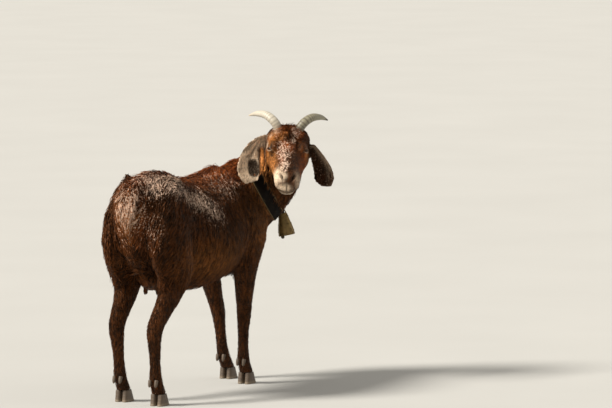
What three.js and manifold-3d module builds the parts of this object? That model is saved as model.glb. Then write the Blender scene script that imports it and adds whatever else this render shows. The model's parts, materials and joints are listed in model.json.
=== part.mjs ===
// A standing doe goat with drooping ears, short swept horns and a belled collar, looking back over
// its right shoulder.
// Millimetres. +X runs from tail to breast, +Y to the animal's left, +Z up, with the soles on z = 0.
import * as THREE from 'three';
import { LoftGeometry } from 'three/addons/geometries/LoftGeometry.js';
import * as BufferGeometryUtils from 'three/addons/utils/BufferGeometryUtils.js';
import Module from 'manifold-3d';

const wasm = await Module();
wasm.setup();

// Driving dimensions ------------------------------------------------------------------------------
const GAP = 0.3;                       // clearance between pieces that meet
const WITHERS = 660;                   // height of the back above the shoulder blades
const HEAD_LENGTH = 245;               // poll to nose tip
const EYE_RADIUS = 13.5;
const HORN_BASE = 15;                  // horn radius where it leaves the hair
const EAR_THICKNESS = 5;
const COLLAR_WIDTH = 38;
const COLLAR_THICKNESS = 4;
const CLAW_HEIGHT = 34;
const CLAW_GAP = 3;                    // between the two claws of a foot
const DEWCLAW_RADIUS = 6;
const BELL_HEIGHT = 68;
const NECK_BEARING = THREE.MathUtils.degToRad(-64);   // the neck swings this far round from +X
const HEAD_BEARING = THREE.MathUtils.degToRad(-152.1);  // and the face this far
const HEAD_DROP = THREE.MathUtils.degToRad(27);       // the face line below the horizontal
const HEAD_TILT = THREE.MathUtils.degToRad(3.5);      // the poll leans to the animal's left

const UP = new THREE.Vector3(0, 0, 1);
const FORWARD = new THREE.Vector3(1, 0, 0);

// Point reached from an origin by going a length along each of several axes.
function sum(origin, ...terms) {
  const point = origin.clone();
  for (const [axis, length] of terms) point.addScaledVector(axis, length);
  return point;
}

// Shapes ------------------------------------------------------------------------------------------

// Catmull-Rom value of one named field of a list of stations at a fractional index.
function fieldAt(stations, field, place) {
  const last = stations.length - 1;
  const i = Math.min(Math.floor(place), last - 1);
  const valueAt = (k) => stations[THREE.MathUtils.clamp(k, 0, last)][field] ?? 0;
  const [a, b, c, d] = [i - 1, i, i + 1, i + 2].map(valueAt);
  const t = place - i;
  return b + 0.5 * t * (c - a + t * (2 * a - 5 * b + 4 * c - d + t * (3 * (b - c) + d - a)));
}

// A closed loft through egg-shaped rings. Each station gives the ring's centre x, y, z, its reach on
// the lift side (top) and on the other (low), its half width, and how much it narrows towards each
// (crest, keel).
function loft(stations, { rows, sides, lift, grow = 0 }) {
  const fields = ['x', 'y', 'z', 'top', 'low', 'half', 'crest', 'keel'];
  const rings = Array.from({ length: rows }, (_, row) => {
    const place = (row / (rows - 1)) * (stations.length - 1);
    const ring = Object.fromEntries(fields.map((field) => [field, fieldAt(stations, field, place)]));
    return { ...ring, centre: new THREE.Vector3(ring.x, ring.y, ring.z) };
  });
  const sections = rings.map((ring, row) => {
    const before = rings[Math.max(row - 1, 0)].centre;
    const after = rings[Math.min(row + 1, rows - 1)].centre;
    const along = after.clone().sub(before).normalize();
    const across = new THREE.Vector3().crossVectors(along, lift).normalize();
    const dorsal = new THREE.Vector3().crossVectors(across, along);
    const centre = ring.centre.clone();
    if (row === 0) centre.addScaledVector(along, -grow);
    if (row === rows - 1) centre.addScaledVector(along, grow);
    return Array.from({ length: sides }, (_, side) => {
      const angle = (side / sides) * 2 * Math.PI;
      const [c, s] = [Math.cos(angle), Math.sin(angle)];
      const narrowing = c > 0 ? ring.crest : ring.keel;
      const height = (c > 0 ? ring.top : ring.low) + grow;
      const width = ring.half * (1 - narrowing * c * c) + grow;
      return sum(centre, [dorsal, c * height], [across, s * width]);
    });
  });
  return solid(new LoftGeometry(sections, { capStart: true, capEnd: true }));
}

// Manifold solid of a closed geometry, optionally placed by a matrix.
function solid(geometry, matrix = new THREE.Matrix4()) {
  const plain = new THREE.BufferGeometry().copy(geometry).applyMatrix4(matrix);
  plain.deleteAttribute('normal');
  plain.deleteAttribute('uv');
  const merged = BufferGeometryUtils.mergeVertices(plain, 1e-4);
  return new wasm.Manifold(new wasm.Mesh({
    numProp: 3,
    vertProperties: new Float32Array(merged.attributes.position.array),
    triVerts: new Uint32Array(merged.index.array),
  }));
}

// Named mesh of a solid, in its own finish.
function piece(name, body, finish) {
  const { vertProperties, triVerts, numProp } = body.getMesh();
  const positions = new Float32Array((vertProperties.length / numProp) * 3);
  for (let i = 0; i < positions.length / 3; i += 1) {
    for (let axis = 0; axis < 3; axis += 1) positions[3 * i + axis] = vertProperties[numProp * i + axis];
  }
  const geometry = new THREE.BufferGeometry();
  geometry.setAttribute('position', new THREE.BufferAttribute(positions, 3));
  geometry.setIndex(new THREE.BufferAttribute(new Uint32Array(triVerts), 1));
  geometry.computeVertexNormals();
  const mesh = new THREE.Mesh(geometry, finish);
  mesh.name = name;
  return mesh;
}

// Frames of the turned neck and head --------------------------------------------------------------
const reach = new THREE.Vector3(Math.cos(NECK_BEARING), Math.sin(NECK_BEARING), 0);
const ahead = new THREE.Vector3(-reach.y, reach.x, 0);

const asPoint = ({ x, y, z }) => new THREE.Vector3(x, y, z);

// Station of the neck or an ear, given along the neck's bearing, across it and up.
const turned = (side, depth, z, sizes = {}) => ({
  x: side * reach.x + depth * ahead.x, y: side * reach.y + depth * ahead.y, z, ...sizes,
});

const faceOn = new THREE.Vector3(Math.cos(HEAD_BEARING), Math.sin(HEAD_BEARING), 0);
const headLeft = new THREE.Vector3(-faceOn.y, faceOn.x, 0).applyAxisAngle(faceOn, -HEAD_TILT);
const headUpright = new THREE.Vector3().crossVectors(faceOn, headLeft);
const muzzle = faceOn.clone().multiplyScalar(Math.cos(HEAD_DROP))
  .addScaledVector(headUpright, -Math.sin(HEAD_DROP));
const brow = faceOn.clone().multiplyScalar(Math.sin(HEAD_DROP))
  .addScaledVector(headUpright, Math.cos(HEAD_DROP));
const pollPoint = asPoint(turned(214, 62, 731));

// Point of the head: distance from the poll along the face, above its middle line, and to its left.
const onHead = (along, above, left) => sum(pollPoint, [muzzle, along], [brow, above], [headLeft, left]);

// Trunk -------------------------------------------------------------------------------------------
const trunkProfile = [
  { x: 190, top: 476, low: 424, level: 450, half: 20 },
  { x: 177, top: 502, low: 398, level: 452, half: 50 },
  { x: 150, top: 552, low: 366, level: 470, half: 90 },
  { x: 110, top: 596, low: 340, level: 466, half: 103, crest: 0.2 },
  { x: 55, top: 638, low: 328, level: 465, half: 108, crest: 0.35 },
  { x: 0, top: WITHERS, low: 324, level: 465, half: 117, crest: 0.45 },
  { x: -60, top: WITHERS - 12, low: 320, level: 465, half: 130, crest: 0.4 },
  { x: -130, top: WITHERS - 24, low: 313, level: 460, half: 146, crest: 0.35 },
  { x: -205, top: WITHERS - 26, low: 308, level: 455, half: 155, crest: 0.3 },
  { x: -280, top: WITHERS - 18, low: 314, level: 460, half: 149, crest: 0.25 },
  { x: -335, top: WITHERS - 4, low: 332, level: 480, half: 128, crest: 0.15 },
  { x: -385, top: WITHERS + 12, low: 356, level: 510, half: 110, crest: 0.1 },
  { x: -430, top: WITHERS + 17, low: 386, level: 530, half: 98, crest: 0.15 },
  { x: -475, top: WITHERS + 10, low: 420, level: 545, half: 86, crest: 0.2 },
  { x: -515, top: WITHERS - 18, low: 460, level: 555, half: 70, crest: 0.2 },
  { x: -545, top: WITHERS - 62, low: 505, level: 555, half: 42 },
];
const trunkStations = trunkProfile.map(({ x, top, low, level, ...rest }) => ({
  x, y: 0, z: level, top: top - level, low: level - low, keel: 0.12, ...rest,
}));
const trunkLoft = (grow) => loft(trunkStations, { rows: 19, sides: 20, lift: UP, grow });

// Neck --------------------------------------------------------------------------------------------
const neckStations = [
  turned(25, 40, 540, { top: 105, low: 120, half: 72 }),
  turned(90, 82, 575, { top: 108, low: 132, half: 74, crest: 0.4 }),
  turned(140, 96, 606, { top: 96, low: 106, half: 62, crest: 0.3 }),
  turned(180, 90, 642, { top: 84, low: 90, half: 54, crest: 0.2 }),
  turned(205, 72, 680, { top: 66, low: 74, half: 48 }),
  turned(216, 52, 704, { top: 40, low: 58, half: 40 }),
];
const neckLoft = (grow) => loft(neckStations, { rows: 12, sides: 18, lift: UP, grow });

// Head --------------------------------------------------------------------------------------------
const headProfile = [
  { along: -32, top: 12, low: -58, half: 36 },
  { along: -12, top: 42, low: -76, half: 54, crest: -0.3 },
  { along: 18, top: 58, low: -88, half: 67, crest: -0.5 },
  { along: 48, top: 58, low: -91, half: 66, crest: -0.4, keel: 0.2 },
  { along: 88, top: 52, low: -84, half: 61, crest: -0.15, keel: 0.3 },
  { along: 120, top: 46, low: -72, half: 55, crest: 0.1, keel: 0.3 },
  { along: 150, top: 42, low: -62, half: 50, crest: 0.15, keel: 0.25 },
  { along: 180, top: 35, low: -56, half: 45, crest: 0.1, keel: 0.2 },
  { along: 207, top: 26, low: -54, half: 42, keel: 0.15 },
  { along: 228, top: 13, low: -51, half: 37, keel: 0.1 },
  { along: 240, top: 0, low: -43, half: 26 },
  { along: HEAD_LENGTH, top: -9, low: -32, half: 13 },
];
const headStations = headProfile.map(({ along, top, low, ...rest }) => {
  const middle = (top + low) / 2;
  const centre = onHead(along, middle, 0);
  return { x: centre.x, y: centre.y, z: centre.z, top: top - middle, low: middle - low, ...rest };
});

// Bony ring of the eye socket, an ellipsoid on each side of the face.
const ORBIT = { along: 92, above: 23, left: 43, length: 29, height: 24, width: 17 };
const headMatrix = (along, above, left) => new THREE.Matrix4()
  .makeBasis(muzzle, headLeft, brow).setPosition(onHead(along, above, left));

function orbit(side, grow) {
  const { along, above, left, length, height, width } = ORBIT;
  const stretch = new THREE.Matrix4().makeScale(length + grow, width + grow, height + grow);
  const place = headMatrix(along, above, side * left).multiply(stretch);
  return solid(new THREE.SphereGeometry(1, 10, 6), place);
}

const headLoft = (grow) => loft(headStations, { rows: 18, sides: 18, lift: brow, grow })
  .add(orbit(1, grow)).add(orbit(-1, grow));

// Limbs -------------------------------------------------------------------------------------------
const foreLimb = [
  { x: -6, y: 48, z: 600, top: 34, low: 34, half: 22 },
  { x: 14, y: 74, z: 545, top: 70, low: 62, half: 34 },
  { x: 48, y: 86, z: 478, top: 102, low: 78, half: 46 },
  { x: 46, y: 84, z: 415, top: 68, low: 70, half: 39 },
  { x: 36, y: 81, z: 360, top: 44, low: 50, half: 36 },
  { x: 38, y: 76, z: 305, top: 33, low: 36, half: 31 },
  { x: 42, y: 72, z: 250, top: 26, low: 28, half: 24 },
  { x: 46, y: 69, z: 208, top: 24, low: 24, half: 21 },
  { x: 44, y: 68, z: 172, top: 18, low: 20, half: 17 },
  { x: 42, y: 68, z: 120, top: 15, low: 17, half: 15 },
  { x: 42, y: 68, z: 78, top: 18, low: 21, half: 18 },
  { x: 52, y: 68, z: 54, top: 17, low: 18, half: 18 },
  { x: 60, y: 68, z: 28, top: 22, low: 22, half: 22 },
];
const hindLimb = [
  { x: -385, y: 52, z: 632, top: 44, low: 50, half: 34 },
  { x: -418, y: 66, z: 562, top: 88, low: 90, half: 48 },
  { x: -434, y: 74, z: 487, top: 106, low: 102, half: 50 },
  { x: -425, y: 79, z: 422, top: 100, low: 86, half: 46 },
  { x: -418, y: 80, z: 364, top: 74, low: 64, half: 39 },
  { x: -438, y: 77, z: 314, top: 46, low: 48, half: 31 },
  { x: -474, y: 73, z: 270, top: 31, low: 36, half: 25 },
  { x: -504, y: 70, z: 234, top: 26, low: 36, half: 22 },
  { x: -512, y: 69, z: 207, top: 23, low: 30, half: 21 },
  { x: -508, y: 68, z: 166, top: 17, low: 19, half: 17 },
  { x: -504, y: 68, z: 118, top: 15, low: 17, half: 15 },
  { x: -500, y: 68, z: 78, top: 18, low: 21, half: 18 },
  { x: -489, y: 68, z: 54, top: 17, low: 18, half: 18 },
  { x: -480, y: 68, z: 28, top: 22, low: 22, half: 22 },
];
const LIMBS = [
  { name: 'front_left', stations: foreLimb, side: 1, step: 96, inward: -32 },
  { name: 'front_right', stations: foreLimb, side: -1, step: 6, inward: 0 },
  { name: 'hind_left', stations: hindLimb, side: 1, step: 26, inward: 0 },
  { name: 'hind_right', stations: hindLimb, side: -1, step: -14, inward: 0 },
];

// The limb's stations on its own side, with the foot set a step forward or back and inwards.
function placed({ stations, side, step, inward }) {
  const topHeight = stations[0].z;
  return stations.map((station) => {
    const share = 1 - station.z / topHeight;
    return { ...station, x: station.x + step * share, y: side * (station.y + inward * share) };
  });
}
const HOOF_LEVEL = CLAW_HEIGHT + GAP;
const belowHair = solid(new THREE.BoxGeometry(2000, 1000, 400),
  new THREE.Matrix4().setPosition(0, 0, HOOF_LEVEL - 200));
const limbLoft = (limb, grow) => loft(placed(limb), { rows: 19, sides: 12, lift: FORWARD, grow });
const limbBody = (limb) => limbLoft(limb, 0).subtract(belowHair);

// Hoof: two claws side by side, each a low wedge with a flat sole and a rounded toe.
const CLAW = { length: 58, width: 20, toe: 20, topLength: 40, topWidth: 18 };

function clawOutline(length, width, roundness) {
  const steps = 5;
  const points = [new THREE.Vector2(-length / 2, -width / 2), new THREE.Vector2(-length / 2, width / 2)];
  for (let k = 0; k <= steps; k += 1) {
    const angle = (k / steps) * (Math.PI / 2);
    const x = length / 2 - roundness * (1 - Math.sin(angle));
    points.push(new THREE.Vector2(x, width * (Math.cos(angle) - 0.5)));
  }
  return points;
}

function claw(centre, outward) {
  const ring = (z, length, width, shift) => clawOutline(length, width, CLAW.toe).map(({ x, y }) => {
    const aside = CLAW_GAP / 2 + width / 2 - y;
    return new THREE.Vector3(centre.x + shift + x, centre.y + outward * aside, z);
  });
  const sections = [
    ring(0, CLAW.length, CLAW.width, 8),
    ring(CLAW_HEIGHT * 0.5, CLAW.length * 0.9, CLAW.width, 3),
    ring(CLAW_HEIGHT, CLAW.topLength, CLAW.topWidth, -1),
  ];
  if (outward < 0) sections.forEach((section) => section.reverse());
  return solid(new LoftGeometry(sections, { capStart: true, capEnd: true }));
}

// Two small dewclaws behind each fetlock, trimmed to the leg they grow from.
const DEWCLAW = { back: 19, spread: 10, z: 66, length: 13 };

function dewclaw(limb, outward) {
  const fetlock = placed(limb).at(-3);
  const place = new THREE.Matrix4()
    .makeTranslation(fetlock.x - DEWCLAW.back, fetlock.y + outward * DEWCLAW.spread, DEWCLAW.z)
    .multiply(new THREE.Matrix4().makeRotationY(THREE.MathUtils.degToRad(25)))
    .multiply(new THREE.Matrix4().makeScale(DEWCLAW_RADIUS, DEWCLAW_RADIUS, DEWCLAW.length));
  return solid(new THREE.SphereGeometry(1, 5, 4), place).subtract(limbLoft(limb, GAP));
}

// Horns, ears, eyes -------------------------------------------------------------------------------
const hornPath = [
  { along: 24, above: 22, left: 24, radius: HORN_BASE },
  { along: 20, above: 51, left: 32, radius: HORN_BASE },
  { along: 8, above: 69, left: 47, radius: 14.8 },
  { along: -14, above: 74, left: 70, radius: 13 },
  { along: -40, above: 61, left: 96, radius: 8.6 },
  { along: -60, above: 41, left: 118, radius: 2.6 },
];

function horn(side) {
  const stations = hornPath.map(({ along, above, left, radius }) => {
    const centre = onHead(along, above, side * left);
    return { x: centre.x, y: centre.y, z: centre.z, top: radius, low: radius, half: radius * 0.9 };
  });
  return loft(stations, { rows: 12, sides: 10, lift: muzzle });
}

// One ear: a cupped leaf swept down its midrib. Each station gives the midrib point along the neck's
// bearing, across it and up, the leaf's width, its cup and the turn of its hollow side about the
// vertical.
const EARS = {
  right: [
    { side: 176, depth: 38, z: 718, width: 30, cup: 8, turn: 20 },
    { side: 150, depth: 28, z: 724, width: 56, cup: 14, turn: 12 },
    { side: 123, depth: 17, z: 701, width: 74, cup: 16, turn: 4 },
    { side: 105, depth: 9, z: 664, width: 79, cup: 14, turn: 0 },
    { side: 101, depth: 5, z: 631, width: 70, cup: 16, turn: 0 },
    { side: 107, depth: 3, z: 606, width: 38, cup: 12, turn: 0 },
  ],
  left: [
    { side: 262, depth: 38, z: 700, width: 28, cup: 8, turn: -30 },
    { side: 292, depth: 36, z: 704, width: 42, cup: 12, turn: -50 },
    { side: 314, depth: 31, z: 676, width: 58, cup: 14, turn: -48 },
    { side: 327, depth: 25, z: 643, width: 70, cup: 14, turn: -40 },
    { side: 333, depth: 19, z: 613, width: 66, cup: 16, turn: -32 },
    { side: 332, depth: 15, z: 592, width: 36, cup: 10, turn: -30 },
  ],
};
const EAR_ROWS = 11;
const EAR_POINTS = 6;

function ear(stations) {
  const last = stations.length - 1;
  const rows = Array.from({ length: EAR_ROWS }, (_, row) => {
    const place = (row / (EAR_ROWS - 1)) * last;
    const value = (field) => fieldAt(stations, field, place);
    const { x, y, z } = turned(value('side'), value('depth'), value('z'));
    const centre = new THREE.Vector3(x, y, z);
    return { centre, width: value('width'), cup: value('cup'), turn: value('turn') };
  });
  const sections = rows.map(({ centre, width, cup, turn }, row) => {
    const before = rows[Math.max(row - 1, 0)].centre;
    const after = rows[Math.min(row + 1, EAR_ROWS - 1)].centre;
    const along = after.clone().sub(before).normalize();
    const hollow = faceOn.clone().applyAxisAngle(UP, THREE.MathUtils.degToRad(turn));
    const across = new THREE.Vector3().crossVectors(along, hollow).normalize();
    const face = new THREE.Vector3().crossVectors(across, along);
    const leaf = (share, offset) => sum(centre, [across, share * width / 2],
      [face, cup * share * share + offset * (1 - 0.5 * share * share)]);
    const shares = Array.from({ length: EAR_POINTS }, (_, k) => -1 + (2 * k) / (EAR_POINTS - 1));
    const front = shares.map((share) => leaf(share, EAR_THICKNESS / 2));
    const back = shares.map((share) => leaf(-share, -EAR_THICKNESS / 2));
    return [...front, ...back];
  });
  return solid(new LoftGeometry(sections, { capStart: true, capEnd: true }));
}

const EYE = { along: 96, above: 21, left: 47.5 };
const eyeball = (side, grow) => solid(new THREE.SphereGeometry(EYE_RADIUS + grow, 11, 7),
  headMatrix(EYE.along, EYE.above, side * EYE.left));

// Tail and udder ----------------------------------------------------------------------------------
const tailStations = [
  { x: -490, y: 0, z: 640, top: 16, low: 16, half: 20 },
  { x: -530, y: 0, z: 630, top: 15, low: 15, half: 24 },
  { x: -560, y: 0, z: 608, top: 13, low: 13, half: 27 },
  { x: -569, y: -2, z: 574, top: 12, low: 12, half: 25 },
  { x: -567, y: -4, z: 544, top: 10, low: 10, half: 17 },
  { x: -562, y: -5, z: 522, top: 4, low: 4, half: 6 },
];
const tailLoft = () => loft(tailStations, { rows: 11, sides: 10, lift: new THREE.Vector3(-0.3, 0, 1) });

const UDDER = { x: -408, z: 384, length: 52, width: 46, height: 62 };
const TEAT = { left: 20, length: 26, radius: 7 };

function udder() {
  const { x, z, length, width, height } = UDDER;
  const place = (left, low) => new THREE.Matrix4().setPosition(x, left, low);
  const stretch = new THREE.Vector3(length, width, height);
  const bag = solid(new THREE.SphereGeometry(1, 14, 9), place(0, z).scale(stretch));
  const teat = (side) => solid(new THREE.CapsuleGeometry(TEAT.radius, TEAT.length, 3, 8),
    place(side * TEAT.left, z - height + 8).multiply(new THREE.Matrix4().makeRotationX(Math.PI / 2)));
  return bag.add(teat(1)).add(teat(-1));
}

// Collar and bell ---------------------------------------------------------------------------------
const COLLAR_SAG = THREE.MathUtils.degToRad(28);    // the collar's axis above the horizontal
const collarAxis = sum(new THREE.Vector3(), [reach, Math.cos(COLLAR_SAG)], [UP, Math.sin(COLLAR_SAG)]);
const collarUp = sum(new THREE.Vector3(), [reach, -Math.sin(COLLAR_SAG)], [UP, Math.cos(COLLAR_SAG)]);
const collarCentre = asPoint(turned(134, 94, 602));

// The neck, grown by a distance, cut to a slice of the given width where the collar lies.
function neckSlice(width, distance) {
  const turn = new THREE.Quaternion().setFromUnitVectors(UP, collarAxis);
  const place = new THREE.Matrix4().compose(collarCentre, turn, new THREE.Vector3(1, 1, 1));
  return neckLoft(distance).intersect(solid(new THREE.BoxGeometry(400, 400, width), place));
}
const collarBand = () => neckSlice(COLLAR_WIDTH, GAP + COLLAR_THICKNESS).subtract(neckLoft(GAP));
const collarGrown = () => neckSlice(COLLAR_WIDTH + 2 * GAP, COLLAR_THICKNESS + 2 * GAP);

// Buckle: a rounded wire frame with its tongue, curved to the strap, on the left of the neck.
const BUCKLE = { length: 34, width: 48, wire: 4, corner: 6, thickness: 3, height: 28 };

function roundedRectangle(shape, length, width, corner) {
  const [a, b] = [length / 2 - corner, width / 2 - corner];
  shape.absarc(a, b, corner, 0, Math.PI / 2);
  shape.absarc(-a, b, corner, Math.PI / 2, Math.PI);
  shape.absarc(-a, -b, corner, Math.PI, 1.5 * Math.PI);
  shape.absarc(a, -b, corner, 1.5 * Math.PI, 2 * Math.PI);
  return shape;
}

function buckle() {
  const { length, width, wire, corner, thickness, height } = BUCKLE;
  const frame = roundedRectangle(new THREE.Shape(), length, width, corner);
  const [openLength, openWidth] = [length - 2 * wire, width - 2 * wire];
  frame.holes.push(roundedRectangle(new THREE.Path(), openLength, openWidth, corner - wire));
  const options = { depth: 100, bevelEnabled: false, curveSegments: 2 };
  const place = new THREE.Matrix4().makeBasis(collarUp, collarAxis, ahead)
    .setPosition(sum(collarCentre, [UP, height]));
  const tongue = new THREE.Matrix4().makeTranslation(0, 0, options.depth / 2).premultiply(place);
  const outline = solid(new THREE.ExtrudeGeometry(frame, options), place)
    .add(solid(new THREE.BoxGeometry(length - wire, wire, options.depth), tongue));
  const inner = 2 * GAP + COLLAR_THICKNESS;
  return outline.intersect(neckLoft(inner + thickness)).subtract(neckLoft(inner));
}

// Bell: a pinched crown with a staple on it, widening to an oval mouth, and swung out from the chest.
const BELL = { mouth: 24, mouthDepth: 19, crown: 12, crownDepth: 8, wall: 1.6, swing: 11 };
const STAPLE = { radius: 9.5, wire: 1.6 };
const bellTop = asPoint(turned(199, 129, 505));
const bellHang = UP.clone().negate().applyAxisAngle(ahead, THREE.MathUtils.degToRad(-BELL.swing));

// The bell's outer shape, or with an inset its hollow.
function bellShape(inset) {
  const { mouth, mouthDepth, crown, crownDepth } = BELL;
  const station = (share, half, depth) => ({
    ...sum(bellTop, [bellHang, share * BELL_HEIGHT]),
    top: depth - inset,
    low: depth - inset,
    half: half - inset,
  });
  const start = inset / BELL_HEIGHT;
  const end = inset ? 1 + 1 / BELL_HEIGHT : 1;
  return loft([
    station(start, crown, crownDepth),
    station(0.35, mouth * 0.68, mouthDepth * 0.66),
    station(0.7, mouth * 0.9, mouthDepth * 0.9),
    station(end, mouth, mouthDepth),
  ], { rows: 5, sides: 14, lift: ahead });
}

function bell() {
  const { radius, wire } = STAPLE;
  const across = new THREE.Vector3().crossVectors(ahead, bellHang);
  const place = new THREE.Matrix4().makeBasis(across, bellHang.clone().negate(), ahead)
    .setPosition(bellTop);
  const staple = solid(new THREE.TorusGeometry(radius, wire, 6, 14), place);
  return bellShape(0).add(staple).subtract(bellShape(BELL.wall));
}

// Clapper: a rod with a ball at its end, hanging plumb inside the bell and showing below its mouth.
const CLAPPER = { radius: 1.8, ball: 5.5, length: 70, stop: 3.2 };

function clapper() {
  const { radius, ball, length, stop } = CLAPPER;
  const top = sum(bellTop, [bellHang, stop]);
  const rod = new THREE.Matrix4().makeRotationX(Math.PI / 2).setPosition(sum(top, [UP, -length / 2]));
  const end = new THREE.Matrix4().setPosition(sum(top, [UP, -length]));
  return solid(new THREE.CylinderGeometry(radius, radius, length, 6), rod)
    .add(solid(new THREE.SphereGeometry(ball, 8, 6), end));
}

// Loop of strap that carries the bell from the collar's edge, through the staple.
const LOOP = { height: 13, depth: 9, thickness: 1.5, halfWidth: 5, lift: 15.6 };

function bellLoop() {
  const { height, depth, thickness, halfWidth, lift } = LOOP;
  const place = new THREE.Matrix4().makeBasis(ahead, UP, reach).setPosition(sum(bellTop, [UP, lift]));
  const ring = new THREE.TorusGeometry(1, thickness / depth, 6, 16);
  ring.scale(depth, height, (halfWidth * depth) / thickness);
  return solid(ring, place).subtract(collarGrown()).subtract(neckLoft(GAP));
}

// Finishes ----------------------------------------------------------------------------------------
function finish(color, roughness, metalness = 0) {
  return new THREE.MeshStandardMaterial({ color, roughness, metalness });
}
const HIDE = finish(0x4a2a1c, 0.85);
const FACE = finish(0x7a4a2e, 0.8);
const EAR_SKIN = finish(0x8a7564, 0.8);
const HORN = finish(0xcfc3a8, 0.45);
const EYE_GLOSS = finish(0x3a2a14, 0.1);
const CLAW_HORN = finish(0x2e2823, 0.6);
const STRAP = finish(0x1f1c17, 0.7);
const BELL_METAL = finish(0x55564a, 0.55, 0.7);

// Assembly ----------------------------------------------------------------------------------------
const goat = new THREE.Group();
const limbsGrown = LIMBS.map((limb) => limbLoft(limb, GAP)).reduce((all, limb) => all.add(limb));
const trunkGrown = trunkLoft(GAP);
const headGrown = headLoft(GAP);
const eyesGrown = eyeball(1, GAP).add(eyeball(-1, GAP));

goat.add(piece('trunk', trunkLoft(0).subtract(limbsGrown), HIDE));
goat.add(piece('neck', neckLoft(0).subtract(trunkGrown).subtract(limbsGrown).subtract(headGrown), HIDE));
goat.add(piece('head', headLoft(0).subtract(eyesGrown), FACE));
goat.add(piece('tail', tailLoft().subtract(trunkGrown).subtract(limbsGrown), HIDE));
goat.add(piece('udder', udder().subtract(trunkGrown).subtract(limbsGrown), HIDE));
for (const limb of LIMBS) {
  goat.add(piece(`leg_${limb.name}`, limbBody(limb), HIDE));
  const foot = placed(limb).at(-1);
  for (const [label, outward] of [['outer', limb.side], ['inner', -limb.side]]) {
    goat.add(piece(`hoof_${limb.name}_${label}`, claw(foot, outward), CLAW_HORN));
    goat.add(piece(`dewclaw_${limb.name}_${label}`, dewclaw(limb, outward), CLAW_HORN));
  }
}
for (const [name, side] of [['left', 1], ['right', -1]]) {
  goat.add(piece(`eye_${name}`, eyeball(side, 0), EYE_GLOSS));
  goat.add(piece(`horn_${name}`, horn(side).subtract(headGrown), HORN));
  goat.add(piece(`ear_${name}`, ear(EARS[name]).subtract(headGrown), EAR_SKIN));
}
goat.add(piece('collar', collarBand(), STRAP));
goat.add(piece('buckle', buckle(), BELL_METAL));
goat.add(piece('bell', bell(), BELL_METAL));
goat.add(piece('clapper', clapper(), BELL_METAL));
goat.add(piece('bell_strap', bellLoop(), STRAP));

// The origin is on the floor, under the middle of the whole.
const middle = new THREE.Box3().setFromObject(goat).getCenter(new THREE.Vector3());
goat.position.set(-middle.x, -middle.y, 0);

export default goat;
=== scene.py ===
"""A standing doe goat that looks back over its right shoulder, wearing a leather collar with a bell.

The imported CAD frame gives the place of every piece. One skin replaces the nodes of flesh and is
modelled in code, a coat of solid locks of hair lies over it, and the eyes, horns, claws, collar and
bell are pieces of their own. Metres; +X runs from tail to breast, +Y to the animal's left, +Z up.
"""

import json
import logging
import math
from contextlib import contextmanager
from dataclasses import dataclass, field
from enum import Enum
from typing import Any, Iterable, Iterator, Sequence

import bmesh
import bpy
import numpy as np
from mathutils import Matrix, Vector
from mathutils.bvhtree import BVHTree

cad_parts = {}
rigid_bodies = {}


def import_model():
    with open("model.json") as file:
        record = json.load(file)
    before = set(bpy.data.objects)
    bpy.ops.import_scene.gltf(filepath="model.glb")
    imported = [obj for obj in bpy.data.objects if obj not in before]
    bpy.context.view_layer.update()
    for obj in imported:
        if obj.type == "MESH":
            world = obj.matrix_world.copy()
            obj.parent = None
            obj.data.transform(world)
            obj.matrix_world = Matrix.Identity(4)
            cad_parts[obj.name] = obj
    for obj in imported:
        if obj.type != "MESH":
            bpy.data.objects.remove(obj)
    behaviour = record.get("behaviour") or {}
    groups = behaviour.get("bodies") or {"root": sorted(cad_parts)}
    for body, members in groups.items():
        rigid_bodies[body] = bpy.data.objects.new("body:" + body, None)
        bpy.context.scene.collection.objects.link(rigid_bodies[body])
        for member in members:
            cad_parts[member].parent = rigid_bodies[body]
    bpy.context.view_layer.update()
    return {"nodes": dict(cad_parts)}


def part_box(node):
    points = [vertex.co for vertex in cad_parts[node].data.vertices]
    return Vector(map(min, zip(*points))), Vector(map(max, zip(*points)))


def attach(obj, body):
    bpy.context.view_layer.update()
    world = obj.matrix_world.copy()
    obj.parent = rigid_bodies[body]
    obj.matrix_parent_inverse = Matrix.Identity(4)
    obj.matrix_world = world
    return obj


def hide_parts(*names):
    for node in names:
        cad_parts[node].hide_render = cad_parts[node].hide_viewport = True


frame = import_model()
NODES: dict[str, bpy.types.Object] = frame["nodes"]

log = logging.getLogger("goat")
logging.basicConfig(level=logging.INFO, format="%(message)s")

MM = 0.001
BODY = "root"
MIDDLE = 83.0  # place of the trunk's middle plane along +Y, in millimetres
UP = np.array((0.0, 0.0, 1.0))
FAR = 1e4  # a place out of reach of every patch, in millimetres
Array = np.ndarray
Colour = tuple[float, ...]
Material = bpy.types.Material
Mesh = bpy.types.Mesh
Piece = bpy.types.Object
Socket = bpy.types.NodeSocket
Triple = tuple[float, float, float]


class Side(Enum):
    """The two sides of the animal, with the sign that its left axis takes there."""

    LEFT = 1
    RIGHT = -1

    @property
    def label(self) -> str:
        """Lower-case name of the side, as the CAD nodes use it."""
        return self.name.lower()


class Slot(Enum):
    """Material slots of the record."""

    HIDE = "hide"
    HORN = "horn"
    EYE = "eye"
    CLAW = "claw"
    STRAP = "strap"
    BUCKLE = "buckle"
    BELL = "bell_metal"


# Small vector and mesh helpers --------------------------------------------------------------------


def unit(vector: Array) -> Array:
    """A vector, or each row of an array of them, at length 1."""
    return vector / np.maximum(np.linalg.norm(vector, axis=-1, keepdims=True), 1e-9)


def bell_curve(distance: Array) -> Array:
    """Gaussian falloff: 1 at distance 0 and about 0.37 at distance 1."""
    return np.exp(-distance * distance)


def blob(points: Array, centre: Sequence[float], radii: Any, power: float = 1.0) -> Array:
    """Falloff of an ellipsoid at each point; a power above 1 gives it a flatter top."""
    return bell_curve(np.linalg.norm((points - np.array(centre)) / np.array(radii), axis=1) ** power)


def ease(low: float, high: float, value: Array) -> Array:
    """Smooth step from 0 at low to 1 at high."""
    share = np.clip((value - low) / (high - low), 0.0, 1.0)
    return share * share * (3 - 2 * share)


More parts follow.
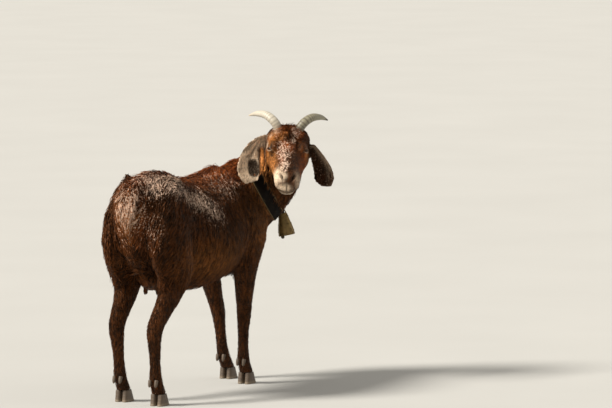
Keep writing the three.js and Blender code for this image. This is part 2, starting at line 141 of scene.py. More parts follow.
def full_turn(count: int) -> Array:
    """Even angles round a full turn."""
    return np.linspace(0, 2 * math.pi, count, endpoint=False)


def blunt(wave: Array, power: float) -> Array:
    """A sine or cosine with its sign kept and its size raised to a power, to square a ring."""
    return np.sign(wave) * np.abs(wave) ** power


def spline(stations: Array, places: Array) -> Array:
    """Catmull-Rom curve.

    Args:
        stations: Rows of values that it passes through.
        places: Fractional row numbers.

    Returns:
        The values there.
    """
    last = len(stations) - 1
    first = np.clip(np.floor(places).astype(int), 0, last - 1)
    a, b, c, d = (stations[np.clip(first + k, 0, last)] for k in (-1, 0, 1, 2))
    t = (places - first)[:, None]
    return b + 0.5 * t * (c - a + t * (2 * a - 5 * b + 4 * c - d + t * (3 * (b - c) + d - a)))


def node_box(name: str) -> tuple[Array, Array]:
    """Lowest and highest corner of a CAD node as arrays."""
    low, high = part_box(name)
    return np.array(low), np.array(high)


def node_centre(name: str) -> Array:
    """Middle of a CAD node's box."""
    low, high = node_box(name)
    return (low + high) / 2


def search_tree(*names: str) -> tuple[BVHTree, Array]:
    """Search tree over the faces of CAD nodes.

    Args:
        names: The nodes.

    Returns:
        The tree, and for each face the number of its node.
    """
    points, faces, owners = [], [], []
    for number, name in enumerate(names):
        mesh = NODES[name].data
        base = len(points)
        points.extend(v.co.copy() for v in mesh.vertices)
        faces.extend([base + i for i in polygon.vertices] for polygon in mesh.polygons)
        owners.extend([number] * len(mesh.polygons))
    return BVHTree.FromPolygons(points, faces), np.array(owners)


def read(items: Any, name: str, width: int = 3, kind: type = float) -> Array:
    """Reads numbers off a mesh.

    Args:
        items: The mesh's points, normals, edges or faces.
        name: Which of their numbers.
        width: How many each has.
        kind: Type of the numbers.

    Returns:
        One row for each.
    """
    flat = np.empty(len(items) * width, kind)
    items.foreach_get(name, flat)
    return flat.reshape(-1, width)


def points_of(mesh: Mesh) -> Array:
    """Vertex positions of a mesh, one row each."""
    return read(mesh.vertices, "co")


def corners_of(mesh: Mesh) -> Array:
    """Vertex numbers of the faces of a triangle mesh, one row each."""
    return read(mesh.polygons, "vertices", 3, np.int32)


def linked(name: str, data: Any) -> Piece:
    """Puts a mesh, a light or a camera into the scene.

    Args:
        name: Name of the object.
        data: What it holds.

    Returns:
        The object.
    """
    made = bpy.data.objects.new(name, data)
    bpy.context.scene.collection.objects.link(made)
    return made


def new_object(name: str, points: Iterable, faces: Iterable) -> Piece:
    """Object in the scene with a new smooth-shaded mesh.

    Args:
        name: Name of the object.
        points: Vertex positions.
        faces: Lists of vertex numbers.

    Returns:
        The object, at the origin.
    """
    mesh = bpy.data.meshes.new(name)
    mesh.from_pydata([tuple(p) for p in points], [], [tuple(int(i) for i in f) for f in faces])
    mesh.shade_smooth()
    return linked(name, mesh)


@contextmanager
def edited(mesh: Mesh) -> Iterator[bmesh.types.BMesh]:
    """Opens a mesh for editing and writes it back at the end.

    Args:
        mesh: The mesh.

    Returns:
        Its editable form.
    """
    work = bmesh.new()
    work.from_mesh(mesh)
    yield work
    work.to_mesh(mesh)
    work.free()


def set_attribute(mesh: Mesh, name: str, values: Array, domain: str = "POINT") -> None:
    """Stores numbers, vectors or whole numbers on a mesh.

    Args:
        mesh: The mesh.
        name: Name of the attribute.
        values: A number or a row for each point, face or corner.
        domain: Which of these they belong to.
    """
    values = np.asarray(values)
    whole = values.dtype.kind in "iu"
    kind = "INT" if whole else ("FLOAT" if values.ndim == 1 else "FLOAT_VECTOR")
    made = mesh.attributes.new(name, kind, domain)
    slot = "vector" if values.ndim == 2 else "value"
    made.data.foreach_set(slot, values.astype(np.int32 if whole else np.float32).ravel())


def applied(holder: Piece) -> None:
    """Replaces an object's mesh with what its modifiers make of it, and removes them.

    Args:
        holder: The object.
    """
    depsgraph = bpy.context.evaluated_depsgraph_get()
    made = bpy.data.meshes.new_from_object(holder.evaluated_get(depsgraph), depsgraph=depsgraph)
    old = holder.data
    holder.modifiers.clear()
    holder.data = made
    made.name = holder.name
    if old.users == 0:
        bpy.data.meshes.remove(old)


def finish_piece(piece: Piece, slot: Slot, *nodes: str, material: Material | None = None) -> None:
    """Dresses a piece and hands it to the frame, where it rides on the body.

    Args:
        piece: The finished piece.
        slot: Its material slot; not used.
        nodes: The CAD nodes that it stands for.
        material: Its finish, where its mesh has none yet.
    """
    if material:
        piece.data.materials.append(material)
    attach(piece, BODY)
    if nodes:
        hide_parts(*nodes)
    triangles = sum(len(p.vertices) - 2 for p in piece.data.polygons)
    log.info("%-24s %7d triangles", piece.name, triangles)


def closed_mesh(name: str, points: Iterable, faces: Iterable) -> Piece:
    """Object with doubled points merged and every face turned outwards.

    Args:
        name: Name of the object.
        points: Vertex positions.
        faces: Lists of vertex numbers.

    Returns:
        The object.
    """
    made = new_object(name, points, faces)
    with edited(made.data) as work:
        bmesh.ops.remove_doubles(work, verts=work.verts, dist=1e-6)
        bmesh.ops.recalc_face_normals(work, faces=work.faces)
    made.data.shade_smooth()
    return made


def ringed(name: str, rings: Array, closed: bool = False) -> Piece:
    """Tube through rings of points, with end caps unless the rings close on themselves.

    Args:
        name: Name of the object.
        rings: Points, of shape (rows, sides, 3).
        closed: Whether the last ring joins the first.

    Returns:
        The tube.
    """
    rows, sides, _ = rings.shape
    faces = []
    for row in range(rows if closed else rows - 1):
        here, there = row * sides, ((row + 1) % rows) * sides
        for side in range(sides):
            after = (side + 1) % sides
            faces.append((here + side, here + after, there + after, there + side))
    if not closed:
        faces.append(tuple(range(sides - 1, -1, -1)))
        faces.append(tuple(range((rows - 1) * sides, rows * sides)))
    return closed_mesh(name, rings.reshape(-1, 3), faces)


def swept(centres: Array, first: Array, second: Array, across: Array, along: Array) -> Array:
    """Rings round a line of points.

    Args:
        centres: Middle of each ring.
        first: One axis of each ring, or of all of them.
        second: The other axis.
        across: Offsets along the first axis, a row for each ring or one row for all.
        along: Offsets along the second axis.

    Returns:
        Points of the rings, of shape (rings, sides, 3).
    """
    first, second = (np.broadcast_to(axis, centres.shape)[:, None] for axis in (first, second))
    return centres[:, None] + across[..., None] * first + along[..., None] * second


def joined(name: str, *parts: Piece) -> Piece:
    """One object that holds the meshes of several, which it takes the place of.

    Args:
        name: Its name.
        parts: The objects.

    Returns:
        The joined object.
    """
    with bpy.context.temp_override(active_object=parts[0], selected_editable_objects=list(parts)):
        bpy.ops.object.join()
    parts[0].name = name
    parts[0].data.name = name
    return parts[0]


# Shader and geometry graphs -----------------------------------------------------------------------


class Field:
    """A number that varies over a surface: one output socket, with arithmetic."""

    def __init__(self, graph: "Graph", socket: Socket) -> None:
        """Wraps an output socket of a graph."""
        self.graph = graph
        self.socket = socket

    def _math(self, operation: str, *values: Any, clamp: bool = False) -> "Field":
        """Adds a Math node over the given values."""
        settings = {"operation": operation, "use_clamp": clamp}
        return Field(self.graph, self.graph.out("ShaderNodeMath", settings, dict(enumerate(values))))

    def __add__(self, other: Any) -> "Field":
        """self + other."""
        return self._math("ADD", self, other)

    def __sub__(self, other: Any) -> "Field":
        """self - other."""
        return self._math("SUBTRACT", self, other)

    def __rsub__(self, other: Any) -> "Field":
        """other - self."""
        return self._math("SUBTRACT", other, self)

    def __mul__(self, other: Any) -> "Field":
        """self * other."""
        return self._math("MULTIPLY", self, other)

    def __truediv__(self, other: Any) -> "Field":
        """self / other."""
        return self._math("DIVIDE", self, other)

    def __pow__(self, other: Any) -> "Field":
        """self ** other."""
        return self._math("POWER", self, other)

    __radd__ = __add__
    __rmul__ = __mul__

    def clamped(self) -> "Field":
        """self held between 0 and 1."""
        return self._math("ADD", self, 0.0, clamp=True)

    def size(self) -> "Field":
        """The size of self without its sign."""
        return self._math("ABSOLUTE", self)

    def step(self, low: float, high: float) -> "Field":
        """Smooth step of self.

        Args:
            low: Where it is 0.
            high: Where it is 1.

        Returns:
            The step.
        """
        settings = {"interpolation_type": "SMOOTHSTEP"}
        inputs = {"Value": self, "From Min": low, "From Max": high}
        return Field(self.graph, self.graph.out("ShaderNodeMapRange", settings, inputs))


class Graph:
    """Builds the nodes of one shader or geometry tree."""

    def __init__(self, tree: bpy.types.NodeTree) -> None:
        """Starts on an empty or new tree."""
        self.tree = tree

    def node(self, kind: str, settings: dict[str, Any] | None = None,
             inputs: dict[Any, Any] | None = None) -> bpy.types.Node:
        """Adds a node.

        Args:
            kind: Type of the node.
            settings: Properties, which are set first.
            inputs: Values or links, by socket identifier, name or number.

        Returns:
            The node.
        """
        made = self.tree.nodes.new(kind)
        for name, value in (settings or {}).items():
            setattr(made, name, value)
        by_identifier = {socket.identifier: socket for socket in made.inputs}
        for key, value in (inputs or {}).items():
            socket = by_identifier.get(key) or made.inputs[key]
            if isinstance(value, Field):
                value = value.socket
            if isinstance(value, Socket):
                self.tree.links.new(value, socket)
            else:
                socket.default_value = value
        return made

    def out(self, kind: str, settings: dict[str, Any] | None = None,
            inputs: dict[Any, Any] | None = None, output: str | None = None) -> Socket:
        """Adds a node and gives one of its outputs.

        Args:
            kind: Type of the node.
            settings: Properties, which are set first.
            inputs: Values or links, by socket identifier, name or number.
            output: Identifier of the output, the first one when left out.

        Returns:
            The output.
        """
        outputs = self.node(kind, settings, inputs).outputs
        return next(socket for socket in outputs if output in (None, socket.identifier))

    def attribute(self, name: str) -> Field:
        """Number stored on the mesh under a name, for a shader."""
        return Field(self, self.out("ShaderNodeAttribute", {"attribute_name": name}, {}, "Fac"))

    def place(self) -> Socket:
        """Object coordinates."""
        return self.out("ShaderNodeTexCoord", output="Object")

    def noise(self, scale: float, detail: float = 2.0, roughness: float = 0.5,
              vector: Socket | None = None) -> Field:
        """Noise around 0.5.

        Args:
            scale: Its cells to the metre.
            detail: How many finer layers it has.
            roughness: How strong they are.
            vector: Where it is read, the Object coordinates when left out.

        Returns:
            The noise.
        """
        inputs = {"Vector": vector or self.place(), "Scale": scale, "Detail": detail,
                  "Roughness": roughness}
        return Field(self, self.out("ShaderNodeTexNoise", {}, inputs))

    def stretched(self, scale: Sequence[float], turn: Sequence[float] = (0, 0, 0)) -> Socket:
        """Object coordinates turned, then stretched along each axis."""
        spun = self.out("ShaderNodeMapping", {}, {"Vector": self.place(), "Rotation": turn})
        return self.out("ShaderNodeMapping", {}, {"Vector": spun, "Scale": scale})

    def combine(self, x: Any = 0.0, y: Any = 0.0, z: Any = 0.0) -> Socket:
        """Vector with three given parts."""
        return self.out("ShaderNodeCombineXYZ", {}, {"X": x, "Y": y, "Z": z})

    def mix(self, share: Any, first: Any, second: Any, kind: str = "Color") -> Socket:
        """Blend of two colours or two vectors.

        Args:
            share: How far it goes from the first to the second, from 0 to 1.
            first: One of them.
            second: The other.
            kind: Color or Vector.

        Returns:
            The blend.
        """
        inputs = {"Factor_Float": share, f"A_{kind}": first, f"B_{kind}": second}
        settings = {"data_type": {"Color": "RGBA", "Vector": "VECTOR"}[kind]}
        return self.out("ShaderNodeMix", settings, inputs, f"Result_{kind}")

    def bump(self, height: Field, depth: float, strength: float) -> Socket:
        """Normal of a surface raised by a height field times a depth in metres."""
        inputs = {"Height": height, "Distance": depth, "Strength": strength}
        return self.out("ShaderNodeBump", {}, inputs)


class Tree(Graph):
    """A Geometry Nodes tree with named inputs, run on an object and then applied."""

    def __init__(self, name: str, **inputs: str) -> None:
        """Starts the tree.

        Args:
            name: Its name.
            inputs: Type of each input by name, beside the geometry and the material.
        """
        super().__init__(bpy.data.node_groups.new(name, "GeometryNodeTree"))
        face = self.tree.interface
        face.new_socket("Geometry", in_out="OUTPUT", socket_type="NodeSocketGeometry")
        wanted = {"Geometry": "Geometry", **inputs, "Material": "Material"}
        self.names = {label: face.new_socket(label, in_out="INPUT", socket_type=f"NodeSocket{kind}")
                      .identifier for label, kind in wanted.items()}
        self.given = self.node("NodeGroupInput").outputs

    def named(self, name: str, kind: str = "FLOAT") -> Socket:
        """Attribute of the geometry."""
        return self.out("GeometryNodeInputNamedAttribute", {"data_type": kind}, {"Name": name})

    def number(self, name: str) -> Field:
        """Number stored on the geometry, for arithmetic."""
        return Field(self, self.named(name))

    def random(self, low: float, high: float, seed: int) -> Field:
        """Random number for each root.

        Args:
            low: Lowest value.
            high: Highest value.
            seed: Fixed seed of the draws.

        Returns:
            The number.
        """
        inputs = {"Min_001": low, "Max_001": high, "Seed": seed}
        return Field(self, self.out("FunctionNodeRandomValue", {"data_type": "FLOAT"}, inputs,
                                    "Value_001"))

    def vector(self, operation: str, *values: Any, output: str = "Vector") -> Socket:
        """Result of a Vector Math node."""
        settings = {"operation": operation}
        return self.out("ShaderNodeVectorMath", settings, dict(enumerate(values)), output)

    def rotation(self, up: Socket, ahead: Socket) -> Socket:
        """Rotation that turns Z to one way and Y towards another."""
        return self.out("FunctionNodeAxesToRotation", {"primary_axis": "Z", "secondary_axis": "Y"},
                        {"Primary Axis": up, "Secondary Axis": ahead})

    def store(self, geometry: Socket, name: str, value: Any, kind: str = "FLOAT_VECTOR",
              domain: str = "POINT") -> Socket:
        """Geometry with a value stored under a name."""
        return self.out("GeometryNodeStoreNamedAttribute", {"data_type": kind, "domain": domain},
                        {"Geometry": geometry, "Name": name, "Value": value})

    def placed(self, points: Socket, shape: Socket, rotation: Socket, scale: Socket,
               **more: Any) -> Socket:
        """Instances of a shape on points."""
        inputs = {"Points": points, "Instance": shape, "Rotation": rotation, "Scale": scale}
        return self.out("GeometryNodeInstanceOnPoints", {}, inputs | more)

    def realized(self, geometry: Socket) -> Socket:
        """Instances turned into real geometry."""
        return self.out("GeometryNodeRealizeInstances", {}, {"Geometry": geometry})

    def end(self, geometry: Socket) -> None:
        """Ends the tree: real geometry, shaded smooth, in the given material.

        Args:
            geometry: What the tree has made.
        """
        smooth = self.out("GeometryNodeSetShadeSmooth", {}, {"Geometry": self.realized(geometry)})
        dressed = self.out("GeometryNodeSetMaterial", {}, {"Geometry": smooth,
                                                           "Material": self.given["Material"]})
        self.node("NodeGroupOutput", {}, {"Geometry": dressed})

    def apply(self, holder: Piece, **values: Any) -> Piece:
        """Runs the tree on an object, whose mesh becomes the plain result.

        Args:
            holder: The object.
            values: Values of the inputs by name.

        Returns:
            The object.
        """
        modifier = holder.modifiers.new("tree", "NODES")
        modifier.node_group = self.tree
        for name, value in values.items():
            modifier[self.names[name]] = value
        applied(holder)
        return holder


def tone(red: float, green: float, blue: float) -> Colour:
    """Linear colour, with full alpha, of a display colour given from 0 to 255."""
    return tuple((c / 255) ** 2.2 for c in (red, green, blue)) + (1.0,)


@dataclass(frozen=True)
class Finish:
    """A finish with one shader, whose sockets paint() gives."""

    name: str

    def paint(self, graph: Graph) -> dict[str, Any]:
        """Values or links of the shader's sockets by name."""
        raise NotImplementedError

    def make(self) -> Material:
        """Makes the material.

        Returns:
            The material.
        """
        material = bpy.data.materials.new(self.name)
        material.use_nodes = True
        material.node_tree.nodes.clear()
        graph = Graph(material.node_tree)
        shader = graph.out("ShaderNodeBsdfPrincipled", {}, self.paint(graph))
        graph.node("ShaderNodeOutputMaterial", {}, {"Surface": shader})
        return material


# Studio -------------------------------------------------------------------------------------------


@dataclass(frozen=True)
class FloorFinish(Finish):
    """Pale grey with a faint cloudiness."""

    name: str = "floor"

    def paint(self, graph: Graph) -> dict[str, Any]:
        """Sockets of the shader.

        Args:
            graph: Where the nodes go.

        Returns:
            Values and links by socket name.
        """
        cloud = graph.noise(1.5, 3.0)
        return {"Base Color": graph.mix(cloud, tone(184, 183, 178), tone(192, 191, 186)),
                "Roughness": 0.9}


@dataclass
class Studio:
    """Camera, lights and floor around the animal."""

    azimuth: float = math.radians(-64)
    elevation: float = math.radians(5)
    distance: float = 13.0
    lens: float = 256.2
    far_end: float = 500.0
    aim: Triple = (0.2817, -0.1625, 0.5440)
    floor_side: float = 600.0
    sun_energy: float = 5.0
    sun_softness: float = math.radians(15)
    fill_energy: float = 0.5
    fill_softness: float = math.radians(70)
    warm_light: Triple = (1.0, 0.955, 0.89)
    sky_colour: Colour = (1.0, 0.965, 0.91, 1.0)
    sky_strength: float = 0.44

    def view_axes(self) -> tuple[Vector, Vector]:
        """Axes of the view.

        Returns:
            Unit vectors to the picture's right, and from the subject to the camera.
        """
        sin_a, cos_a = math.sin(self.azimuth), math.cos(self.azimuth)
        flat = math.cos(self.elevation)
        back = Vector((sin_a * flat, -cos_a * flat, math.sin(self.elevation)))
        return Vector((cos_a, sin_a, 0.0)), back

    def add_camera(self) -> None:
        """Adds the camera and makes it the scene's."""
        _, back = self.view_axes()
        data = bpy.data.cameras.new("camera")
        data.lens = self.lens
        data.clip_end = self.far_end
        camera = linked("camera", data)
        camera.location = Vector(self.aim) + back * self.distance
        camera.rotation_euler = back.to_track_quat("Z", "Y").to_euler()
        bpy.context.scene.camera = camera

    def add_sun(self, name: str, towards: Vector, energy: float, softness: float) -> None:
        """Adds a distant light.

        Args:
            name: Name of the light.
            towards: The way from the subject to the light.
            energy: Its strength.
            softness: The angle that it fills in the sky.
        """
        data = bpy.data.lights.new(name, "SUN")
        data.energy = energy
        data.angle = softness
        data.color = self.warm_light
        light = linked(name, data)
        light.rotation_euler = towards.to_track_quat("Z", "Y").to_euler()
        light.location = Vector(self.aim) + towards * 3

    def add_lights(self) -> None:
        """Adds a soft key light from the tail's side, a broad fill from the breast and an even sky."""
        right, back = self.view_axes()
        key = -0.88 * right + 0.40 * back + Vector((0, 0, 0.80))
        fill = 0.9 * right - 0.2 * back + Vector((0, 0, 0.5))
        self.add_sun("key", key, self.sun_energy, self.sun_softness)
        self.add_sun("fill", fill, self.fill_energy, self.fill_softness)
        world = bpy.data.worlds.new("sky")
        bpy.context.scene.world = world
        world.use_nodes = True
        sky = world.node_tree.nodes["Background"].inputs
        sky["Color"].default_value = self.sky_colour
        sky["Strength"].default_value = self.sky_strength

    def add_floor(self) -> None:
        """Adds the plain pale floor."""
        half = self.floor_side / 2
        corners = [(-half, -half, 0), (half, -half, 0), (half, half, 0), (-half, half, 0)]
        floor = new_object("floor", corners, [(0, 1, 2, 3)])
        floor.data.materials.append(FloorFinish().make())

    def build(self) -> None:
        """Adds camera, lights and floor, and sets how light becomes colour."""
        self.add_camera()
        self.add_lights()
        self.add_floor()
        view = bpy.context.scene.view_settings
        view.view_transform = "Standard"
        view.look = "None"


# Frame of the turned head -------------------------------------------------------------------------


@dataclass
class HeadFrame:
    """Axes of the head: along the face from the poll, above it, and to the animal's left."""

    bearing: float = math.radians(-152.1)
    drop: float = math.radians(27)
    tilt: float = math.radians(3.5)
    eye_along: float = 96 * MM
    eye_above: float = 21 * MM

    def __post_init__(self) -> None:
        """Works out the axes, and the poll from the two eyes."""
        facing = np.array((math.cos(self.bearing), math.sin(self.bearing), 0.0))
        level = np.array((-facing[1], facing[0], 0.0))
        self.left = level * math.cos(self.tilt) - UP * math.sin(self.tilt)
        upright = np.cross(facing, self.left)
        self.muzzle = facing * math.cos(self.drop) - upright * math.sin(self.drop)
        self.brow = facing * math.sin(self.drop) + upright * math.cos(self.drop)
        self.axes = np.stack((self.muzzle, self.brow, self.left))
        self.facing = self.muzzle * 0.72 + self.brow * 0.69
        between = (node_centre("eye_left") + node_centre("eye_right")) / 2
        self.poll = between - self.muzzle * self.eye_along - self.brow * self.eye_above

    def local(self, points: Array) -> Array:
        """Distances of points along the face, above it and to the left, in millimetres."""
        return (points - self.poll) @ self.axes.T / MM


# Markings of the coat, painted highlight and painted shade among them -----------------------------


class Tone(Enum):
    """Marks that the skin and the coat share; each is an attribute from 0 to 1, and some are painted
    highlight, sheen or shade.
    """

    RUST = "rust"
    GOLD = "gold"
    PALE = "pale"
    # Pale grey: a few pale hairs, and mostly painted sheen on the croup, the back and the lit side of
    # the face.
    FROST = "frost"
    DARK = "dark"


@dataclass(frozen=True)
class Mark:
    """One soft patch of a tone: an ellipsoid in millimetres, on the head or on the body."""

    centre: Triple
    radii: Triple
    strength: float = 1.0


# Head marks in millimetres along the face, above it and to the left. The right half (left below 0),
# which faces the key light, has stronger gold, pale and pale grey marks than the left: the coat's own
# colour, brightened with painted light.
HEAD_MARKS = {
    Tone.RUST: (
        Mark((30, 60, -24), (34, 26, 24)),
        Mark((30, 60, 24), (34, 26, 24), 0.9),
        Mark((140, -14, 46), (70, 40, 22), 0.8),
        Mark((110, 44, -8), (30, 20, 26), 0.8),
        Mark((60, 20, -60), (30, 24, 20), 0.8),
        Mark((150, 36, -22), (60, 14, 12), 0.7)),
    Tone.GOLD: (
        Mark((64, 38, -48), (30, 24, 20)),
        Mark((54, 52, -27), (28, 18, 17)),
        Mark((150, -2, -42), (66, 30, 20), 0.68),
        Mark((96, -30, -60), (30, 46, 22), 0.85),
        Mark((90, -40, 56), (50, 40, 20), 0.35),
        Mark((50, -66, -50), (40, 34, 34), 0.7),
        Mark((100, 6, 58), (16, 12, 12), 0.45)),
    Tone.FROST: (
        Mark((40, 54, -30), (26, 16, 15), 0.8),
        Mark((138, 40, -14), (68, 22, 24), 0.84),
        Mark((196, 30, -12), (38, 18, 18), 0.85),
        Mark((40, 62, 18), (34, 20, 13), 0.85),
        Mark((84, 52, 12), (20, 14, 10), 0.8),
        Mark((16, 50, -38), (18, 22, 16), 0.85)),
    Tone.PALE: (
        # Painted highlight on the right brow.
        Mark((51, 41, -51), (10, 8, 9), 0.55),
        Mark((54, 14, -62), (12, 12, 12), 0.85),
        Mark((39, 53, -35), (12, 12, 9), 0.5),
        Mark((216, -2, -33), (26, 34, 19)),
        Mark((226, 4, -18), (16, 20, 14), 0.9),
        Mark((234, 15, -10), (13, 11, 9), 0.8),
        Mark((222, -8, 34), (24, 30, 16), 0.4),
        Mark((240, -20, -8), (14, 14, 22), 0.8),
        Mark((230, -48, 0), (24, 14, 26), 0.85)),
    Tone.DARK: (
        # Painted shade on the nose pad, at the nostrils and on the left of the upper lip.
        Mark((241, -2, 8), (9, 11, 7), 0.8),
        Mark((232, 14, 12), (12, 9, 7), 0.55),
        Mark((243, -15, 12), (10, 15, 10), 0.42),
        Mark((238, 7, 2), (8, 8, 8), 0.4),
        # The next two marks are the coat's own dark stripe down the forehead.
        Mark((62, 50, 3), (30, 22, 7), 0.95),
        Mark((88, 46, 2), (12, 10, 9), 0.85),
        Mark((122, 20, -44), (16, 7, 7), 0.5),
        Mark((40, -110, 0), (50, 24, 50), 0.4),
        # Painted shade down the left side of the bridge and on the left brow, the side turned from the
        # key light.
        Mark((168, 31, 17), (56, 14, 7), 0.42),
        Mark((66, 42, 40), (34, 22, 14), 0.4)),
}
BODY_MARKS = {
    # Painted sheen on the croup, the back, the rump, the thighs, the tail, the upper left flank and
    # the withers.
    Tone.FROST: (
        Mark((-278, 50, 652), (76, 54, 46)),
        Mark((-229, 6, 640), (54, 40, 36), 0.92),
        Mark((-160, 6, 618), (62, 42, 40)),
        Mark((-104, 2, 598), (68, 42, 42)),
        Mark((-64, -26, 562), (48, 36, 46), 0.92),
        Mark((-388, 62, 590), (40, 60, 70), 0.95),
        Mark((-398, 120, 530), (40, 44, 84), 0.75),
        Mark((-360, 8, 536), (40, 40, 56), 0.3),
        Mark((-410, 90, 590), (26, 28, 60), 0.9),
        Mark((-150, 165, 620), (150, 50, 50), 0.35),
        Mark((112, 36, 618), (96, 44, 44), 0.6)),
    Tone.RUST: (
        Mark((160, 70, 650), (150, 60, 50), 0.85),
        Mark((0, 83, 640), (190, 44, 36), 0.5),
        Mark((-300, 90, 668), (90, 50, 30), 0.8),
        Mark((-396, 76, 562), (46, 104, 112), 0.75),
        Mark((240, 50, 660), (70, 70, 60), 0.7)),
    Tone.GOLD: (
        Mark((-371, 46, 575), (12, 14, 22), 0.4),
        Mark((-400, 96, 545), (36, 60, 90), 0.5),
        Mark((250, -40, 520), (60, 44, 120), 0.28),
        Mark((-60, -44, 424), (190, 44, 60), 0.2)),
    # Painted shade between the hind legs and over the right rump, flank and shoulder, the side turned
    # from the key light.
    Tone.DARK: (
        Mark((-372, 60, 430), (60, 40, 100), 0.55),
        Mark((-312, -8, 590), (60, 30, 46), 0.5),
        Mark((-200, -36, 545), (70, 40, 50), 0.45),
        Mark((60, -60, 500), (140, 60, 110), 0.5),
        Mark((196, -36, 556), (96, 60, 90), 0.62),
        # Darker towards the ground.
        Mark((0, 83, 60), (400, 200, 90), 0.35)),
}


# Skin ---------------------------------------------------------------------------------------------


@dataclass(frozen=True)
class Growth:
    """How hair grows on one part of the body; lengths in millimetres."""

    depth: float
    length: float
    width: float
    crowd: float
    rise: float = 1.0


FORE_LEG = Growth(depth=2.6, length=18, width=2.1, crowd=95_000)
HIND_LEG = Growth(depth=3.4, length=32, width=2.4, crowd=84_000)
EAR = Growth(depth=0.5, length=7, width=0.95, crowd=190_000, rise=0.6)
GROWTHS = {
    "trunk": Growth(depth=4.2, length=32, width=2.5, crowd=72_000),
    "neck": Growth(depth=4.0, length=27, width=2.3, crowd=88_000),
    "head": Growth(depth=1.2, length=9.5, width=1.0, crowd=214_000, rise=0.6),
    "tail": Growth(depth=3.2, length=40, width=2.4, crowd=90_000, rise=1.2),
    "udder": Growth(depth=1.2, length=9, width=1.8, crowd=90_000, rise=0.6),
    "leg_front_left": FORE_LEG,
    "leg_front_right": FORE_LEG,
    "leg_hind_left": HIND_LEG,
    "leg_hind_right": HIND_LEG,
    "ear_left": EAR,
    "ear_right": EAR,
}
FLESH = tuple(GROWTHS)


@dataclass
class Cloth:
    """The edges of a mesh, for spreading values over it."""

    edges: Array
    count: Array

    @classmethod
    def of(cls, mesh: Mesh) -> "Cloth":
        """Reads the edges of a mesh."""
        edges = read(mesh.edges, "vertices", 2, np.int32)
        return cls(edges, np.maximum(np.bincount(edges.ravel(), minlength=len(mesh.vertices)), 1))

    def spread(self, values: Array, rounds: int, share: float = 0.5) -> Array:
        """Moves the values of each point towards the mean of its neighbours, several times.

        Args:
            values: A row for each point.
            rounds: How many times.
            share: How far each time; below 0 it moves away.

        Returns:
            The new values.
        """
        first, second = self.edges.T
        size = len(self.count)
        for _ in range(rounds):
            total = np.empty_like(values)
            for k in range(values.shape[1]):
                total[:, k] = (np.bincount(first, values[second, k], size)
                               + np.bincount(second, values[first, k], size))
            values = values + share * (total / self.count[:, None] - values)
        return values


